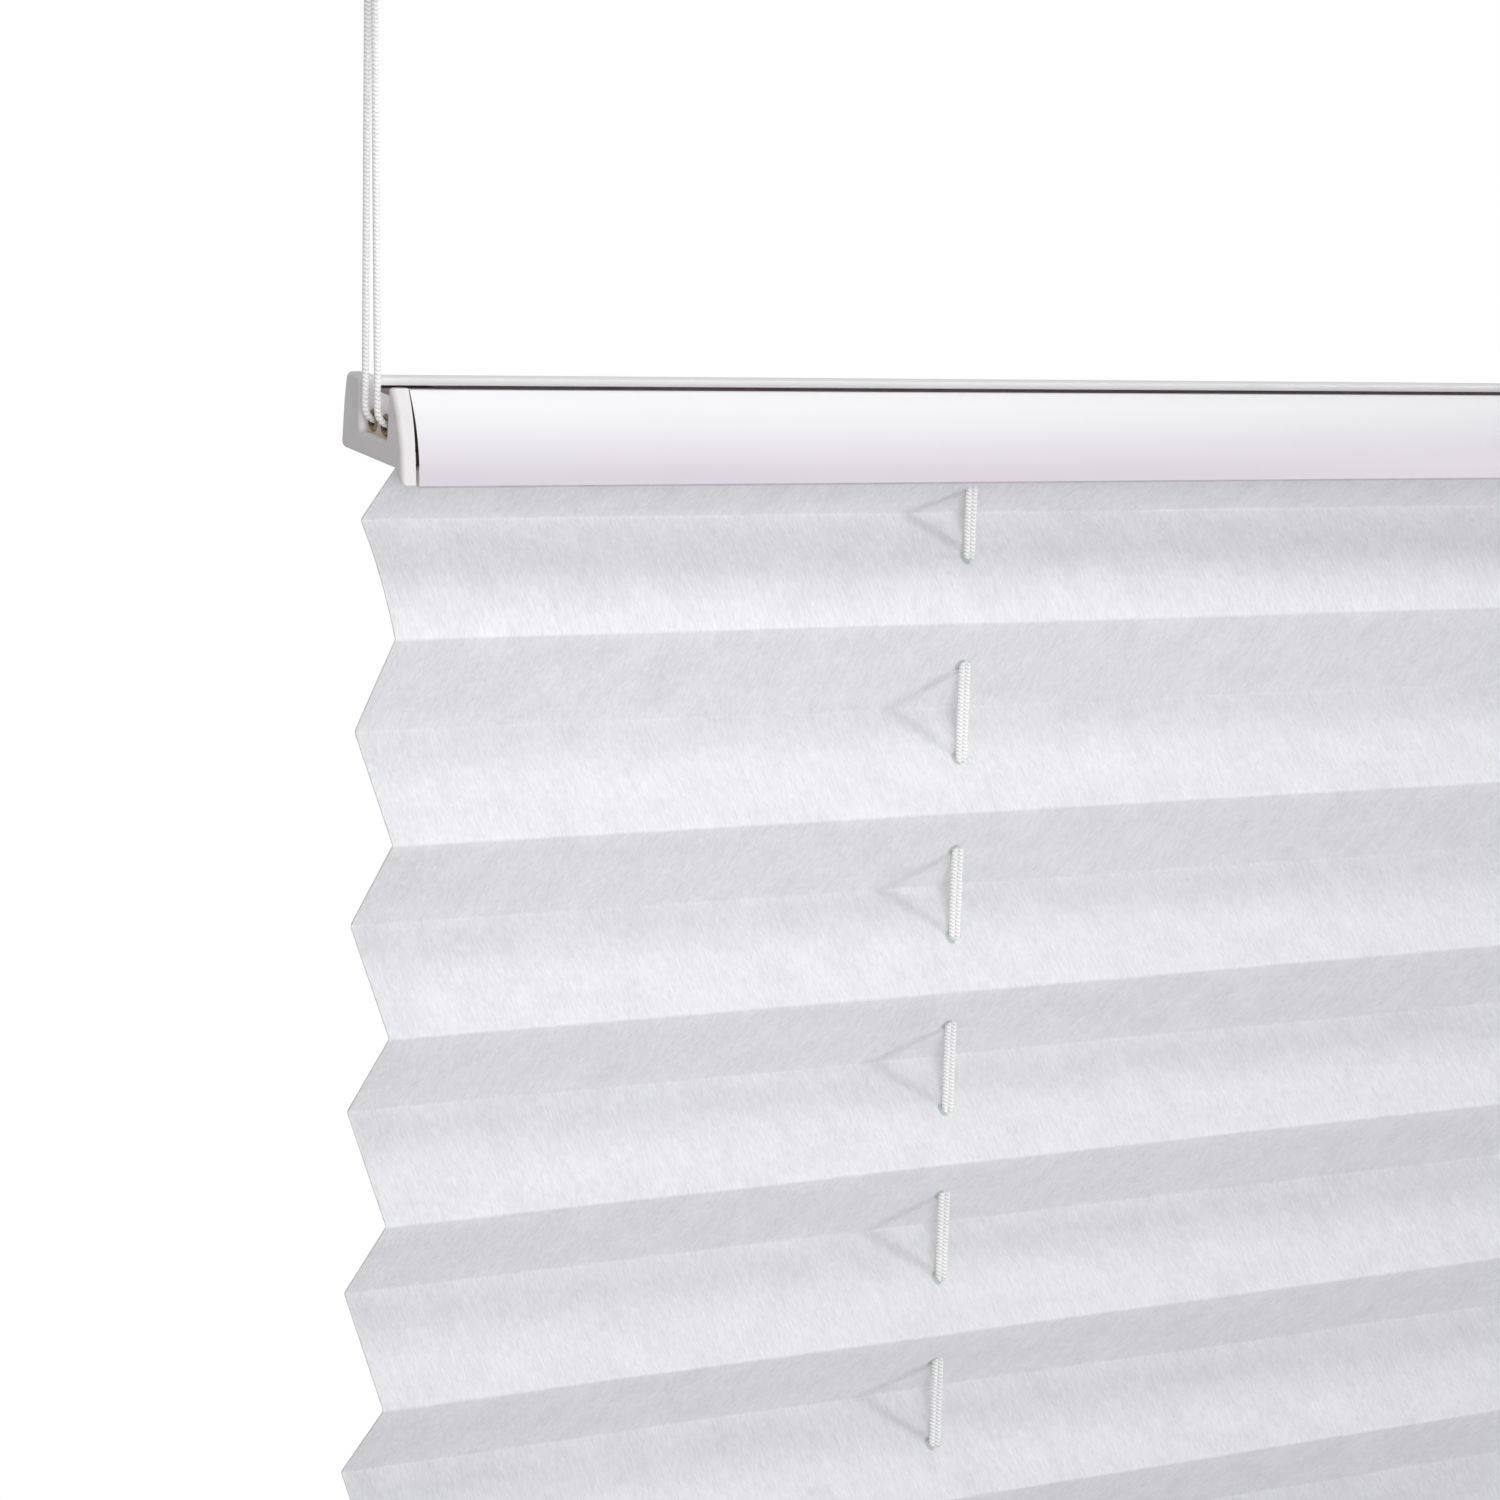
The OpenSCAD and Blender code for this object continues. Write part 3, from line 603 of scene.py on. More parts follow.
def bevel_edges(obj, chosen, width, segments=2, clamp=True):
    """Bevels the sharp edges for which chosen(edge) is true."""
    bm = edit(obj, "EDGE")
    for e in bm.edges:
        if len(e.link_faces) == 2 and e.calc_face_angle() > SHARP and chosen(e):
            e.select_set(True)
    bmesh.update_edit_mesh(obj.data)
    bpy.ops.mesh.bevel(offset=width, segments=segments, affect="EDGES", clamp_overlap=clamp)
    return done(obj)


def on_plane(edge, x):
    """True for an edge that lies wholly at one distance from the middle of the blind."""
    return all(abs(abs(v.co.x) - x) < ON_PLANE for v in edge.verts)


def lengthwise(edge):
    """True for an edge that runs along the rail."""
    a, b = edge.verts
    return abs(a.co.x - b.co.x) > ALONG_RAIL * (a.co - b.co).length


def nudge(obj, moves):
    """Moves corners: each shift goes to the vertices that are listed for it."""
    for shift, indices in moves.items():
        bm = edit(obj, "VERT")
        bm.verts.ensure_lookup_table()
        for index in indices:
            bm.verts[index].select_set(True)
        bmesh.update_edit_mesh(obj.data)
        bpy.ops.transform.translate(value=shift)
    return done(obj)


def place(obj, node, body):
    """Lets the finished copy stand for its CAD node, on the same body."""
    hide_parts(node)
    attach(obj, body)
    return obj


print("edges that turn by more than", round(math.degrees(SHARP)), "degrees can be softened")

# %% [markdown]
# The rails
#
# Each rail is one coated aluminium extrusion: a slotted cord channel above, a channel for the fabric below
# and a bowed front that ends in a thin skirt. A sculpting brush could bow the front further, but moving its
# corners by a formula keeps every line straight along the rail. The rear lip is thinned in the same way, the
# edges are rounded, and a bisect cuts a line along the skirt, below which a thin strip gets painted shade.

# %% Rails
CHANNEL_H, SLOT_HALF = 5.9 * MM, 6.2 * MM
LIP_THIN, LIP_NEAR = 0.3 * MM, 0.05 * MM
FRONT_DEPTH, SKIN_DEPTH = -4 * MM, -5 * MM
RAIL_EDGE_R, RAIL_EDGE_STEPS = 0.2 * MM, 3
BOW_FROM, BOW_TO, BOW_BACK = -3.5 * MM, 7.5 * MM, 1.6 * MM
EDGE_LINE = -5.36 * MM


def in_section(spot, lower):
    """Depth and height of a point in the rail's own section, in metres."""
    height = (LOWER_WEB * MM - spot.z) if lower else (spot.z + RAIL_DROP * MM)
    depth = spot.y * math.cos(RAIL_TIP) + height * math.sin(RAIL_TIP)
    return depth, height * math.cos(RAIL_TIP) - spot.y * math.sin(RAIL_TIP)


def thin_lip(rail, lower):
    """Draws the rear lip out to a thinner edge, which leaves a little more of the dark slot in sight."""
    edge = []
    for v in rail.data.vertices:
        depth, height = in_section(v.co, lower)
        if abs(depth - SLOT_HALF) < LIP_NEAR and abs(height - CHANNEL_H) < LIP_NEAR:
            edge.append(v.index)
    return nudge(rail, {(0, 0, -LIP_THIN if lower else LIP_THIN): edge})


def bow_front(obj, lower):
    """Leans the upper front back in a curve, a little further than the plain section does."""
    moves = {}
    for v in obj.data.vertices:
        depth, height = in_section(v.co, lower)
        if depth < FRONT_DEPTH and height > BOW_FROM:
            back = BOW_BACK * ((height - BOW_FROM) / (BOW_TO - BOW_FROM)) ** 2
            moves.setdefault((0, round(back, 6), 0), []).append(v.index)
    return nudge(obj, moves)


def scribe_edge(rail, lower):
    """Cuts a line along the skirt, just above its lower edge."""
    y, z = in_rail(0, EDGE_LINE / MM, lower) * MM
    edit(rail, "FACE")
    bpy.ops.mesh.select_all(action="SELECT")
    up = (0, -math.sin(RAIL_TIP), -math.cos(RAIL_TIP) if lower else math.cos(RAIL_TIP))
    bpy.ops.mesh.bisect(plane_co=(0, y, z), plane_no=up)
    return done(rail)


rails = {}
for level, body in (("top", TOP), ("bottom", BOTTOM)):
    node = level + "_rail"
    lower = level == "bottom"
    rail = thin_lip(cad_copy(node), lower)
    bow_front(rail, lower)
    bevel_edges(rail, lengthwise, RAIL_EDGE_R, RAIL_EDGE_STEPS)
    scribe_edge(rail, lower)
    rails[level] = place(smooth(rail, 30), node, body)
print("rails:", {level: triangles(rail) for level, rail in rails.items()})

# %% [markdown]
# The end caps
#
# A moulded plastic cap closes each end of a rail. Its plate follows the bowed front, with a wide round edge,
# and leaves a fine seam to the rail. The seam is a true gap, thin at the top and opening further down, and
# the rail's end inside it carries painted shade. After the wide bevel, the outline's crowded corners are
# merged, so that the round edge doesn't fold over itself.

# %% End caps
CAP_OUTER, CAP_INNER = 201.1 * MM, 198.8 * MM
CAP_EDGE_R, CAP_EDGE_STEPS = 0.7 * MM, 5
CROWDED = 0.35 * MM
SEAM_GAP, SEAM_TOP, SEAM_OPEN, SEAM_SLOPE = 0.35 * MM, 0.12 * MM, 0.42 * MM, 1.6
FRONT_LOW, FRONT_HIGH = -5.6 * MM, 7.7 * MM


def shape_seam(cap, lower):
    """Bows the plate's front inner edge, so that the seam is thin at the top and opens further down."""
    moves = {}
    for v in cap.data.vertices:
        depth, height = in_section(v.co, lower)
        if abs(abs(v.co.x) - CAP_INNER) < ON_PLANE and depth < SKIN_DEPTH:
            share = (height - FRONT_LOW) / (FRONT_HIGH - FRONT_LOW)
            gap = SEAM_TOP + SEAM_OPEN * min(max(SEAM_SLOPE * (1 - share), 0.0), 1.0)
            shift = (math.copysign(1, v.co.x) * round(gap - SEAM_GAP, 6), 0, 0)
            moves.setdefault(shift, []).append(v.index)
    return nudge(cap, moves)


def tidy_outline(cap):
    """Merges the outline's crowded corners, where the wide bevel would otherwise fold over itself."""
    bm = edit(cap, "VERT")
    for v in bm.verts:
        v.select_set(abs(v.co.x) > CAP_OUTER - ON_PLANE / 2)
    bmesh.update_edit_mesh(cap.data)
    bpy.ops.mesh.remove_doubles(threshold=CROWDED)
    bpy.ops.mesh.select_all(action="SELECT")
    bpy.ops.mesh.normals_make_consistent(inside=False)
    return done(cap)


caps = {}
for level, body in (("top", TOP), ("bottom", BOTTOM)):
    for side in ("left", "right"):
        node = f"{level}_end_cap_{side}"
        lower = level == "bottom"
        cap = bow_front(shape_seam(cad_copy(node), lower), lower)
        bevel_edges(cap, lambda e: on_plane(e, CAP_OUTER), CAP_EDGE_R, CAP_EDGE_STEPS, clamp=False)
        tidy_outline(cap)
        caps[node] = place(flat_normals(smooth(cap, 40)), node, body)
print("caps:", {name: triangles(cap) for name, cap in caps.items()})

# %% [markdown]
# Shoes and cord holders
#
# Four small plastic shoes are screwed to the window, and a holder with the knotted cord end clips into each.
# A bevel modifier could round every edge at once, but it would also eat the small clips. So only the longer
# edges are rounded.

# %% Shoes and cord holders
SHOE_EDGE_R, HOLDER_EDGE_R = 0.3 * MM, 0.2 * MM
LONG_EDGE = 1.5 * MM
FIXING_KINDS = (("shoe", "shoe", SHOE_EDGE_R), ("cord_holder", "holder", HOLDER_EDGE_R))
fixings = {}
for level in ("top", "bottom"):
    for side in ("left", "right"):
        for kind, slot, width in FIXING_KINDS:
            node = f"{kind}_{level}_{side}"
            piece = bevel_edges(cad_copy(node), lambda e: e.calc_length() > LONG_EDGE, width)
            fixings[node] = place(flat_normals(smooth(piece, 30)), node, FIXED)
print("fixings:", {name: triangles(piece) for name, piece in fixings.items()})

# %% [markdown]
# Materials
#
# Everything here is white or cream, so the surfaces must be told apart by how they scatter light: coated
# metal that is faintly uneven, matte moulded plastic, a fibrous fabric and a braided cord. Images could do
# that, but procedural noise has no seams and no end. Rigid pieces use object coordinates. The fabric and the
# cords use their own UV maps, so that their grain moves with them.


# %% Colours and coordinates
def paint(red, green, blue):
    """A colour as seen on a screen, turned into the linear light that shaders use."""
    def linear(value):
        share = value / 255
        return share / 12.92 if share <= 0.04045 else ((share + 0.055) / 1.055) ** 2.4
    return (linear(red), linear(green), linear(blue), 1.0)


def new_material(name, rough):
    """A new material, its node tree and its main shader."""
    made = bpy.data.materials.new(name)
    made.use_nodes = True
    shader = made.node_tree.nodes["Principled BSDF"]
    shader.inputs["Roughness"].default_value = rough
    return made, made.node_tree, shader


def object_place(tree):
    """The place on the piece, in metres."""
    return tree.nodes.new("ShaderNodeTexCoord").outputs["Object"]


def stretched(tree, place_socket, factors):
    """The same place with each direction scaled by its own factor."""
    scaled = tree.nodes.new("ShaderNodeVectorMath")
    scaled.operation = "MULTIPLY"
    scaled.inputs[1].default_value = factors
    tree.links.new(place_socket, scaled.inputs[0])
    return scaled.outputs["Vector"]


print("screen white 250 is", round(paint(250, 250, 250)[0], 3), "in linear light")


# %% Patterns
def noise(tree, place_socket, scale, detail=2.0, distortion=0.0):
    """A soft random pattern between 0 and 1."""
    made = tree.nodes.new("ShaderNodeTexNoise")
    made.inputs["Scale"].default_value = scale
    made.inputs["Detail"].default_value = detail
    made.inputs["Distortion"].default_value = distortion
    tree.links.new(place_socket, made.inputs["Vector"])
    return made.outputs["Fac"]


def tint(tree, factor, dark, light, low=0.3, high=0.7):
    """A colour that goes from dark to light as the factor goes from low to high."""
    ramp = tree.nodes.new("ShaderNodeValToRGB")
    ramp.color_ramp.elements[0].position = low
    ramp.color_ramp.elements[0].color = dark
    ramp.color_ramp.elements[1].position = high
    ramp.color_ramp.elements[1].color = light
    tree.links.new(factor, ramp.inputs["Fac"])
    return ramp.outputs["Color"]


def bump(tree, shader, height, strength, distance):
    """Bends the light as if the surface had this height."""
    made = tree.nodes.new("ShaderNodeBump")
    made.inputs["Strength"].default_value = strength
    made.inputs["Distance"].default_value = distance
    tree.links.new(height, made.inputs["Height"])
    tree.links.new(made.outputs["Normal"], shader.inputs["Normal"])


def mathed(tree, operation, first, second):
    """One calculation on two values, each a socket or a number."""
    made = tree.nodes.new("ShaderNodeMath")
    made.operation = operation
    for value, socket in zip((first, second), made.inputs):
        if isinstance(value, (int, float)):
            socket.default_value = value
        else:
            tree.links.new(value, socket)
    return made.outputs["Value"]


print("pattern helpers: noise, tint, bump and mathed")

# %% Rigid surfaces
GRAIN_H = 0.05 * MM
FACING_OUT, FACING_UP = 0.06, 0.48


def grained(name, dark, light, rough, scale, grain_scale, grain):
    """A rigid surface: a soft variation of colour, and a fine grain that only bends the light."""
    made, tree, shader = new_material(name, rough)
    here = object_place(tree)
    colour = tint(tree, noise(tree, here, scale), dark, light)
    tree.links.new(colour, shader.inputs["Base Color"])
    bump(tree, shader, noise(tree, here, grain_scale, 3.0), grain, GRAIN_H)
    return made


def coated_metal():
    """Pale coating, faintly uneven, with painted shade: lighter where it faces up, as if under a bright
    ceiling, and greyer where it faces out or down.
    """
    made, tree, shader = new_material("coated_aluminium", 0.36)
    facing = tree.nodes.new("ShaderNodeSeparateXYZ")
    tree.links.new(tree.nodes.new("ShaderNodeNewGeometry").outputs["Normal"], facing.inputs[0])
    here = object_place(tree)
    uneven = mathed(tree, "MULTIPLY", noise(tree, here, 60), 0.05)
    # painted shade: the coating's colour follows where each face looks, greyer out and down, paler up
    colour = tint(
        tree, mathed(tree, "ADD", facing.outputs["Z"], uneven),
        paint(200, 195, 202), paint(226, 226, 228), FACING_OUT, FACING_UP,
    )
    tree.links.new(colour, shader.inputs["Base Color"])
    bump(tree, shader, noise(tree, here, 6000, 3.0), 0.06, GRAIN_H)
    return made


def painted_light_and_shade_by_height(name, dark, light, rough, low, high):
    """Painted light and shade on a plastic: darker at one height and lighter at another, as deep inside a
    notch or a seam.
    """
    made, tree, shader = new_material(name, rough)
    here = object_place(tree)
    spot = tree.nodes.new("ShaderNodeSeparateXYZ")
    tree.links.new(here, spot.inputs[0])
    share = mathed(tree, "DIVIDE", mathed(tree, "SUBTRACT", spot.outputs["Z"], low), high - low)
    uneven = mathed(tree, "MULTIPLY", mathed(tree, "SUBTRACT", noise(tree, here, 900, 3.0), 0.5), 0.6)
    colour = tint(tree, mathed(tree, "ADD", share, uneven), dark, light, 0.0, 1.0)
    tree.links.new(colour, shader.inputs["Base Color"])
    bump(tree, shader, noise(tree, here, 3500, 3.0), 0.15, GRAIN_H)
    return made


print("grain of the rigid surfaces:", GRAIN_H / MM, "mm")

# %% Rigid materials
SEAM_DARK_Z, SEAM_PALE_Z = -83.6 * MM, -84.4 * MM
NOTCH_DARK_Z, NOTCH_PALE_Z = -78.8 * MM, -75.2 * MM
COATED = coated_metal()
# painted light: the rear lip gets a brighter copy of the coating
LIP_PAINTED_LIGHT = grained("lips_painted_light", paint(250, 250, 251), paint(253, 253, 254), 0.36, 60, 6000, 0.06)
# painted shade inside the cord channel and on the caps' hidden plug
PAINTED_SLOT_SHADE = grained("channel_shade", paint(126, 114, 118), paint(142, 130, 134), 0.6, 300, 4000, 0.1)
CREAM = grained("cream_plastic", paint(213, 210, 211), paint(218, 215, 216), 0.5, 250, 3500, 0.15)
# painted shade: a thin darker line along the skirt's lower edge
EDGE = grained("skirt_edge_painted_shade", paint(156, 149, 158), paint(168, 161, 169), 0.5, 400, 4000, 0.1)
# painted shade in the seam between cap and rail: dark brown down most of it, pale at its foot
SEAM = painted_light_and_shade_by_height(
    "seam_shade", paint(74, 60, 48), paint(236, 230, 221), 0.7, SEAM_DARK_Z, SEAM_PALE_Z
)
# painted light and shade on the notch's wall: pale at the top, brownish down by the eyelets
NOTCH = painted_light_and_shade_by_height(
    "notch_painted_light_and_shade", paint(204, 190, 180), paint(254, 252, 251), 0.5, NOTCH_DARK_Z, NOTCH_PALE_Z
)
# painted shade inside the eyelet bores and on the bottom rail's ends
BORE = grained("bore_shade", paint(70, 54, 42), paint(104, 88, 72), 0.7, 500, 4000, 0.1)
TAN = grained("tan_eyelet", paint(120, 104, 80), paint(152, 134, 106), 0.45, 600, 4000, 0.1)
WHITE = grained("white_plastic", paint(230, 230, 228), paint(238, 238, 236), 0.4, 200, 3500, 0.12)
CLEAR = grained("pale_plastic", paint(212, 214, 216), paint(224, 226, 228), 0.3, 200, 3500, 0.1)
RIGID = (COATED, LIP_PAINTED_LIGHT, PAINTED_SLOT_SHADE, CREAM, EDGE, SEAM, NOTCH, BORE, TAN, WHITE, CLEAR)
print("rigid materials:", [made.name for made in RIGID])

# %% [markdown]
# Fabric and cord
#
# The fabric is pressed from short white fibres, so some light shines through it, and each punched hole gets
# painted shade beside the cords. The cord is braided: columns of slanting stitches, with painted shade in the
# grooves. Modelled fibres would be far too many, so noise that is stretched along the sheet and a slanting
# wave round the cord stand for them.

# %% Fabric and cord helpers
HOLE_OUT, HOLE_HALF_W, HOLE_HALF_H = 1.0 * MM, 0.75 * MM, 1.2 * MM
RIM_REACH, RIM_STEEPNESS = 1.25, 2


def uv_place(tree, layer):
    """The place on the piece's own UV map."""
    made = tree.nodes.new("ShaderNodeUVMap")
    made.uv_map = layer
    return made.outputs["UV"]


def let_light_through(tree, shader, colour, share):
    """Mixes in the light that shines through a thin white piece from its other side."""
    through = tree.nodes.new("ShaderNodeBsdfTranslucent")
    tree.links.new(colour, through.inputs["Color"])
    mixed = tree.nodes.new("ShaderNodeMixShader")
    mixed.inputs["Fac"].default_value = share
    tree.links.new(shader.outputs["BSDF"], mixed.inputs[1])
    tree.links.new(through.outputs["BSDF"], mixed.inputs[2])
    tree.links.new(mixed.outputs["Shader"], tree.nodes["Material Output"].inputs["Surface"])


def hole_shade(tree, here):
    """1 where each cord hole gets painted shade, just outside the cords, and 0 elsewhere."""
    spot = tree.nodes.new("ShaderNodeSeparateXYZ")
    tree.links.new(here, spot.inputs[0])
    outside = mathed(tree, "SUBTRACT", mathed(tree, "ABSOLUTE", spot.outputs["X"], 0), PUNCH_X + HOLE_OUT)
    panels = mathed(tree, "FRACT", mathed(tree, "DIVIDE", spot.outputs["Y"], PANEL_LEN * MM), 0)
    down = mathed(tree, "MULTIPLY", mathed(tree, "SUBTRACT", panels, 0.5), PANEL_LEN * MM)
    across = mathed(tree, "POWER", mathed(tree, "DIVIDE", outside, HOLE_HALF_W), 2)
    along = mathed(tree, "POWER", mathed(tree, "DIVIDE", down, HOLE_HALF_H), 2)
    near = mathed(tree, "SUBTRACT", RIM_REACH, mathed(tree, "ADD", across, along))
    steep = mathed(tree, "MULTIPLY", near, RIM_STEEPNESS)
    return mathed(tree, "MINIMUM", mathed(tree, "MAXIMUM", steep, 0), 1)


print("shaded rim of a cord hole:", 2 * HOLE_HALF_W, "x", 2 * HOLE_HALF_H, "m")

# %% Fabric and cord materials
FIBRE_SCALE, STRAND_SCALE, CLOUD_SCALE = (3400, 700, 1), (900, 110, 1), 160
BRAID_COLUMNS, STITCHES = 3, 1.7
FABRIC_THROUGH, CORD_THROUGH = 0.35, 0.15


def fabric_material():
    """Pressed fabric: short fibres across the folds, soft clouds in its thickness, some light through it."""
    made, tree, shader = new_material("pleated_fabric", 0.85)
    here = uv_place(tree, "fibres")
    fibres = noise(tree, stretched(tree, here, FIBRE_SCALE), 1.0, 4.0, 0.8)
    strands = noise(tree, stretched(tree, here, STRAND_SCALE), 1.0, 3.0, 0.4)
    clouds = noise(tree, here, CLOUD_SCALE, 3.0)
    coarse = mathed(tree, "MULTIPLY", strands, 0.2)
    grain = mathed(tree, "ADD", mathed(tree, "MULTIPLY", fibres, 0.6), coarse)
    both = mathed(tree, "ADD", grain, mathed(tree, "MULTIPLY", clouds, 0.2))
    white = tint(tree, both, paint(232, 232, 235), paint(253, 253, 255), 0.33, 0.65)
    colour = tree.nodes.new("ShaderNodeMixRGB")
    # painted shade in each cord hole, beside the cords
    colour.inputs["Color2"].default_value = paint(205, 213, 211)
    tree.links.new(hole_shade(tree, here), colour.inputs["Fac"])
    tree.links.new(white, colour.inputs["Color1"])
    tree.links.new(colour.outputs["Color"], shader.inputs["Base Color"])
    shader.inputs["Specular IOR Level"].default_value = 0.2
    bump(tree, shader, grain, 0.2, 0.06 * MM)
    let_light_through(tree, shader, colour.outputs["Color"], FABRIC_THROUGH)
    return made


def cord_material():
    """Braided cord: columns of slanting stitches, each leaning against its neighbour, with painted shade in
    the grooves.
    """
    made, tree, shader = new_material("braided_cord", 0.7)
    split = tree.nodes.new("ShaderNodeSeparateXYZ")
    tree.links.new(uv_place(tree, "braid"), split.inputs[0])
    column = mathed(tree, "FRACT", mathed(tree, "MULTIPLY", split.outputs["X"], BRAID_COLUMNS), 0)
    slant = mathed(tree, "ABSOLUTE", mathed(tree, "SUBTRACT", column, 0.5), 0)
    along = mathed(tree, "MULTIPLY", split.outputs["Y"], STITCHES)
    wave = mathed(tree, "SINE", mathed(tree, "MULTIPLY", mathed(tree, "ADD", along, slant), 2 * math.pi), 0)
    height = mathed(tree, "ADD", mathed(tree, "MULTIPLY", wave, 0.5), 0.5)
    # painted shade: the deepest parts of each stitch are greyer
    colour = tint(tree, height, paint(212, 212, 214), paint(254, 254, 254), 0.0, 0.42)
    tree.links.new(colour, shader.inputs["Base Color"])
    bump(tree, shader, height, 0.2, 0.08 * MM)
    let_light_through(tree, shader, colour, CORD_THROUGH)
    return made


FABRIC = fabric_material()
CORD = cord_material()
print("soft materials:", FABRIC.name, CORD.name)

# %% [markdown]
# Dressing the pieces
#
# One piece can show several colours: a rail is coated outside, with painted shade in its channel, in the seam
# at its ends and along the skirt's lower edge, and painted light on its rear lip. It could be split into
# parts, but giving each face its own material keeps the piece whole. The faces are told apart by their place
# in the rail's section and by where they look.

# %% Dress the rails
ENDWISE, FACING, LEANING = 0.7, 0.5, 0.4
CHANNEL_LOW, CHANNEL_FLOOR, CHANNEL_ROOF = -0.2 * MM, 0.5 * MM, 5 * MM
PLAIN, SHADE, CUT_END, LIT_LIPS, SKIRT_SHADE_LINE = range(5)


def dress(obj, *materials):
    """Gives obj these materials and no others."""
    obj.data.materials.clear()
    for made in materials:
        obj.data.materials.append(made)
    return obj


def in_channel(face, lower):
    """True for the faces that look into the cord channel, below its lips."""
    y, z = in_section(face.center, lower)
    up = -face.normal.z if lower else face.normal.z
    faces_in = face.normal.y * y < 0 and abs(face.normal.y) > LEANING and z < CHANNEL_H
    floor_or_roof = (up > FACING and z < CHANNEL_FLOOR) or (up < -FACING and z > CHANNEL_ROOF)
    return z > CHANNEL_LOW and (faces_in or floor_or_roof) and abs(face.normal.x) < FACING


def rail_material_slot(face, lower):
    """Which material a face gets: plain coating, painted shade in the channel, at the cut end or along the
    skirt's edge, or painted light on the rear lip.
    """
    depth, height = in_section(face.center, lower)
    if abs(face.normal.x) > ENDWISE:
        return CUT_END
    # painted light on the rear lip
    if height > CHANNEL_H + LIP_THIN / 2 and depth > 0:
        return LIT_LIPS
    # painted shade line along the skirt's lower edge
    if depth < SKIN_DEPTH and height < EDGE_LINE:
        return SKIRT_SHADE_LINE
    return SHADE if in_channel(face, lower) else PLAIN


for level, rail in rails.items():
    dress(rail, COATED, PAINTED_SLOT_SHADE, SEAM if level == "top" else BORE, LIP_PAINTED_LIGHT, EDGE)
    for face in rail.data.polygons:
        face.material_index = rail_material_slot(face, level == "bottom")
print("rails dressed:", {level: len(rail.data.materials) for level, rail in rails.items()})

# %% Dress the end caps
PLATE_MARGIN = 0.5 * MM
NOTCH_X, NOTCH_NEAR = CAP_OUTER - 1.0 * MM, 0.1 * MM
NOTCH_FLOOR = 2


def in_front(face):
    """True for the rim of the end plate, which is seen in front of the rail's end."""
    return abs(face.center.x) > CAP_INNER - PLATE_MARGIN and abs(face.normal.x) < ENDWISE


def cap_material_slot(face):
    """Which material a face gets: the notch's floor (painted light and shade on the top caps), the hidden
    plug in painted shade, or the plain plate.
    """
    if abs(abs(face.center.x) - NOTCH_X) < NOTCH_NEAR and abs(face.normal.x) > ENDWISE:
        return NOTCH_FLOOR
    hidden = abs(face.center.x) < CAP_INNER + PLATE_MARGIN and not in_front(face)
    return SHADE if hidden else PLAIN


for node, cap in caps.items():
    dress(cap, CREAM, PAINTED_SLOT_SHADE, NOTCH if node.startswith("top") else CREAM)
    for face in cap.data.polygons:
        face.material_index = cap_material_slot(face)
print("caps dressed:", list(caps))

# %% Dress the small pieces, the cords and the fabric
EYELET_PITCH = 4.4 * MM
INTO_BORE = -0.2 * MM


def dress_eyelets(eyelets):
    """Tan rims, and painted shade in the bores, where a face looks towards its own eyelet's axis."""
    dress(eyelets, TAN, BORE)
    low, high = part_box(eyelets.name)
    middle = (low + high) / 2
    for face in eyelets.data.polygons:
        axis_y = middle.y + math.copysign(EYELET_PITCH / 2, face.center.y - middle.y)
        face.material_index = int(face.normal.y * (face.center.y - axis_y) < INTO_BORE)


for node, piece in fixings.items():
    dress(piece, CLEAR if node.startswith("cord_holder") else WHITE)
for parts in CORDS.values():
    for part in parts.values():
        dress(part, CORD)
for piece in (fabric_upper, fabric_lower, fabric_hem):
    dress(piece, FABRIC)
for level in ("top", "bottom"):
    dress(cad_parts[level + "_fabric_strip"], CLEAR)
    for side in ("left", "right"):
        dress_eyelets(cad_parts[f"{level}_eyelets_{side}"])
        dress(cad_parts[f"{level}_cord_guide_{side}"], WHITE)
print("dressed:", len(fixings), "fixings,", len(CORDS), "cords and the fabric")

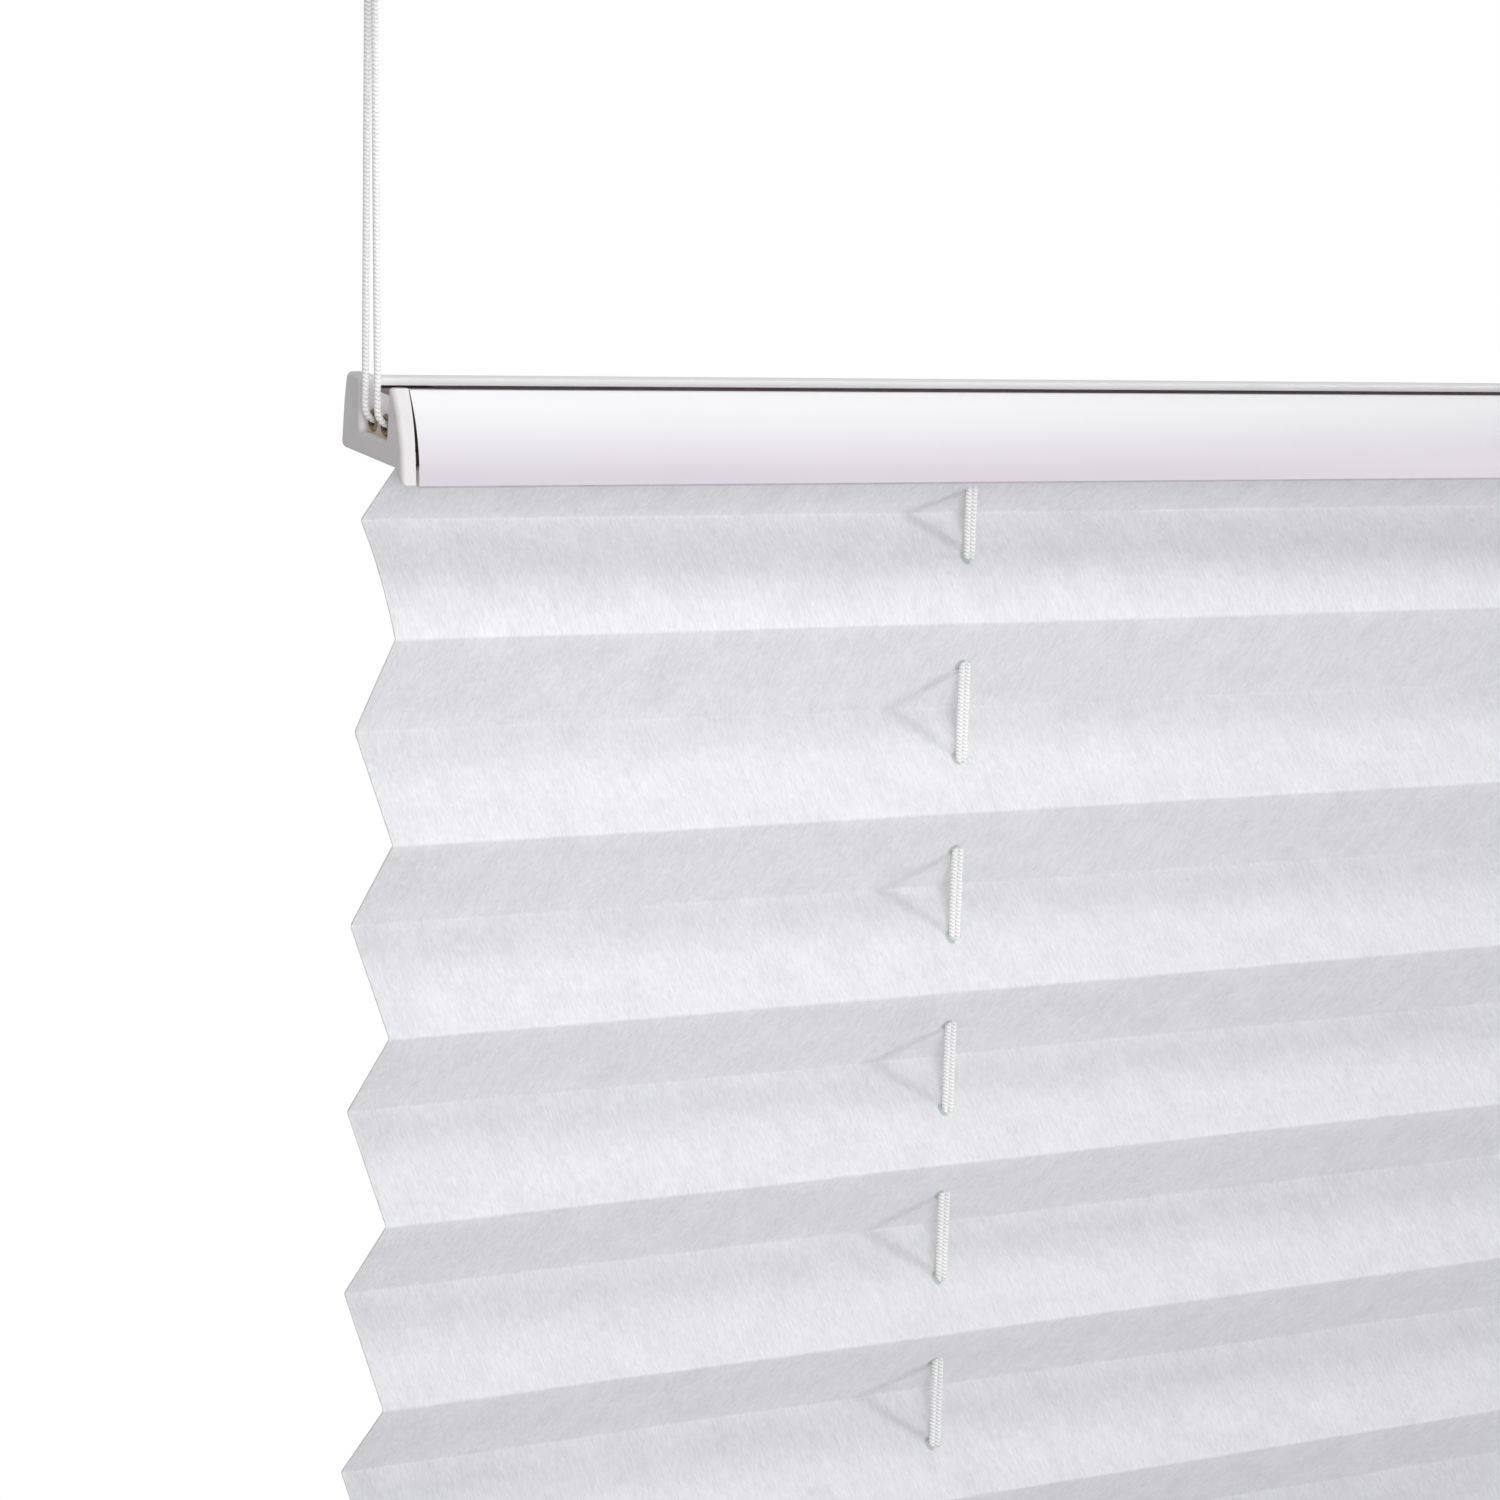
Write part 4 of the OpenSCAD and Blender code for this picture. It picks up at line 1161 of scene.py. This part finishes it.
# %% [markdown]
# Light and floor
#
# The blind is lit softly from the room's right, a little from above, in front of a pure white ground. One
# large soft box could light it, but it would wash out the cords' shadows. So a low lamp at the right gives
# the brighter and darker panels and those shadows, a lamp above lets the rail shade the first panel, and a
# narrowed lamp near the camera brightens the middle of the picture. The white world fills the rest. The
# floor lies below the picture, for the other views.

# %% Lights, world and floor
LIT_PLACE = Vector((-0.15, 0, -0.1))
FLOOR_R, FLOOR_Z = 0.9, -0.62


def area_light(name, direction, distance, size, energy, spread=180):
    """A round lamp that faces the lit place from a direction, with the spread of its beam in degrees."""
    bpy.ops.object.light_add(type="AREA")
    lamp = bpy.context.object
    lamp.name = name
    towards = Vector(direction).normalized()
    lamp.location = LIT_PLACE + towards * distance
    lamp.rotation_euler = towards.to_track_quat("Z", "Y").to_euler()
    lamp.data.shape = "DISK"
    lamp.data.size = size
    lamp.data.energy = energy
    lamp.data.spread = math.radians(spread)
    return lamp


area_light("key", direction=(0.83, -0.55, 0.0), distance=1.6, size=0.3, energy=8.2)
area_light("above", direction=(0.0, -0.5, 1.0), distance=0.7, size=0.35, energy=1.5)
area_light("front", direction=(-0.35, -1.0, 0.07), distance=0.65, size=0.3, energy=0.2, spread=52)


def white_world(shown, lighting):
    """White behind the object for the camera, and a dimmer white for lighting it."""
    world = bpy.data.worlds.new("studio")
    bpy.context.scene.world = world
    world.use_nodes = True
    tree = world.node_tree
    ground = tree.nodes["Background"]
    ground.inputs["Color"].default_value = (1, 1, 1, 1)
    paths = tree.nodes.new("ShaderNodeLightPath")
    levels = tree.nodes.new("ShaderNodeMapRange")
    levels.inputs["To Min"].default_value = lighting
    levels.inputs["To Max"].default_value = shown
    tree.links.new(paths.outputs["Is Camera Ray"], levels.inputs["Value"])
    tree.links.new(levels.outputs["Result"], ground.inputs["Strength"])
    return world


white_world(shown=1.0, lighting=0.44)
bpy.ops.object.select_all(action="DESELECT")
bpy.ops.mesh.primitive_circle_add(vertices=128, radius=FLOOR_R, fill_type="NGON", location=(0, 0, FLOOR_Z))
floor = bpy.context.object
floor.name = "floor"
bpy.ops.object.transform_apply(location=True)
pale = grained("pale_floor", paint(249, 249, 249), paint(252, 252, 252), 0.8, 5, 600, 0.05)
dress(floor, pale)
bpy.context.scene.view_settings.view_transform = "Standard"
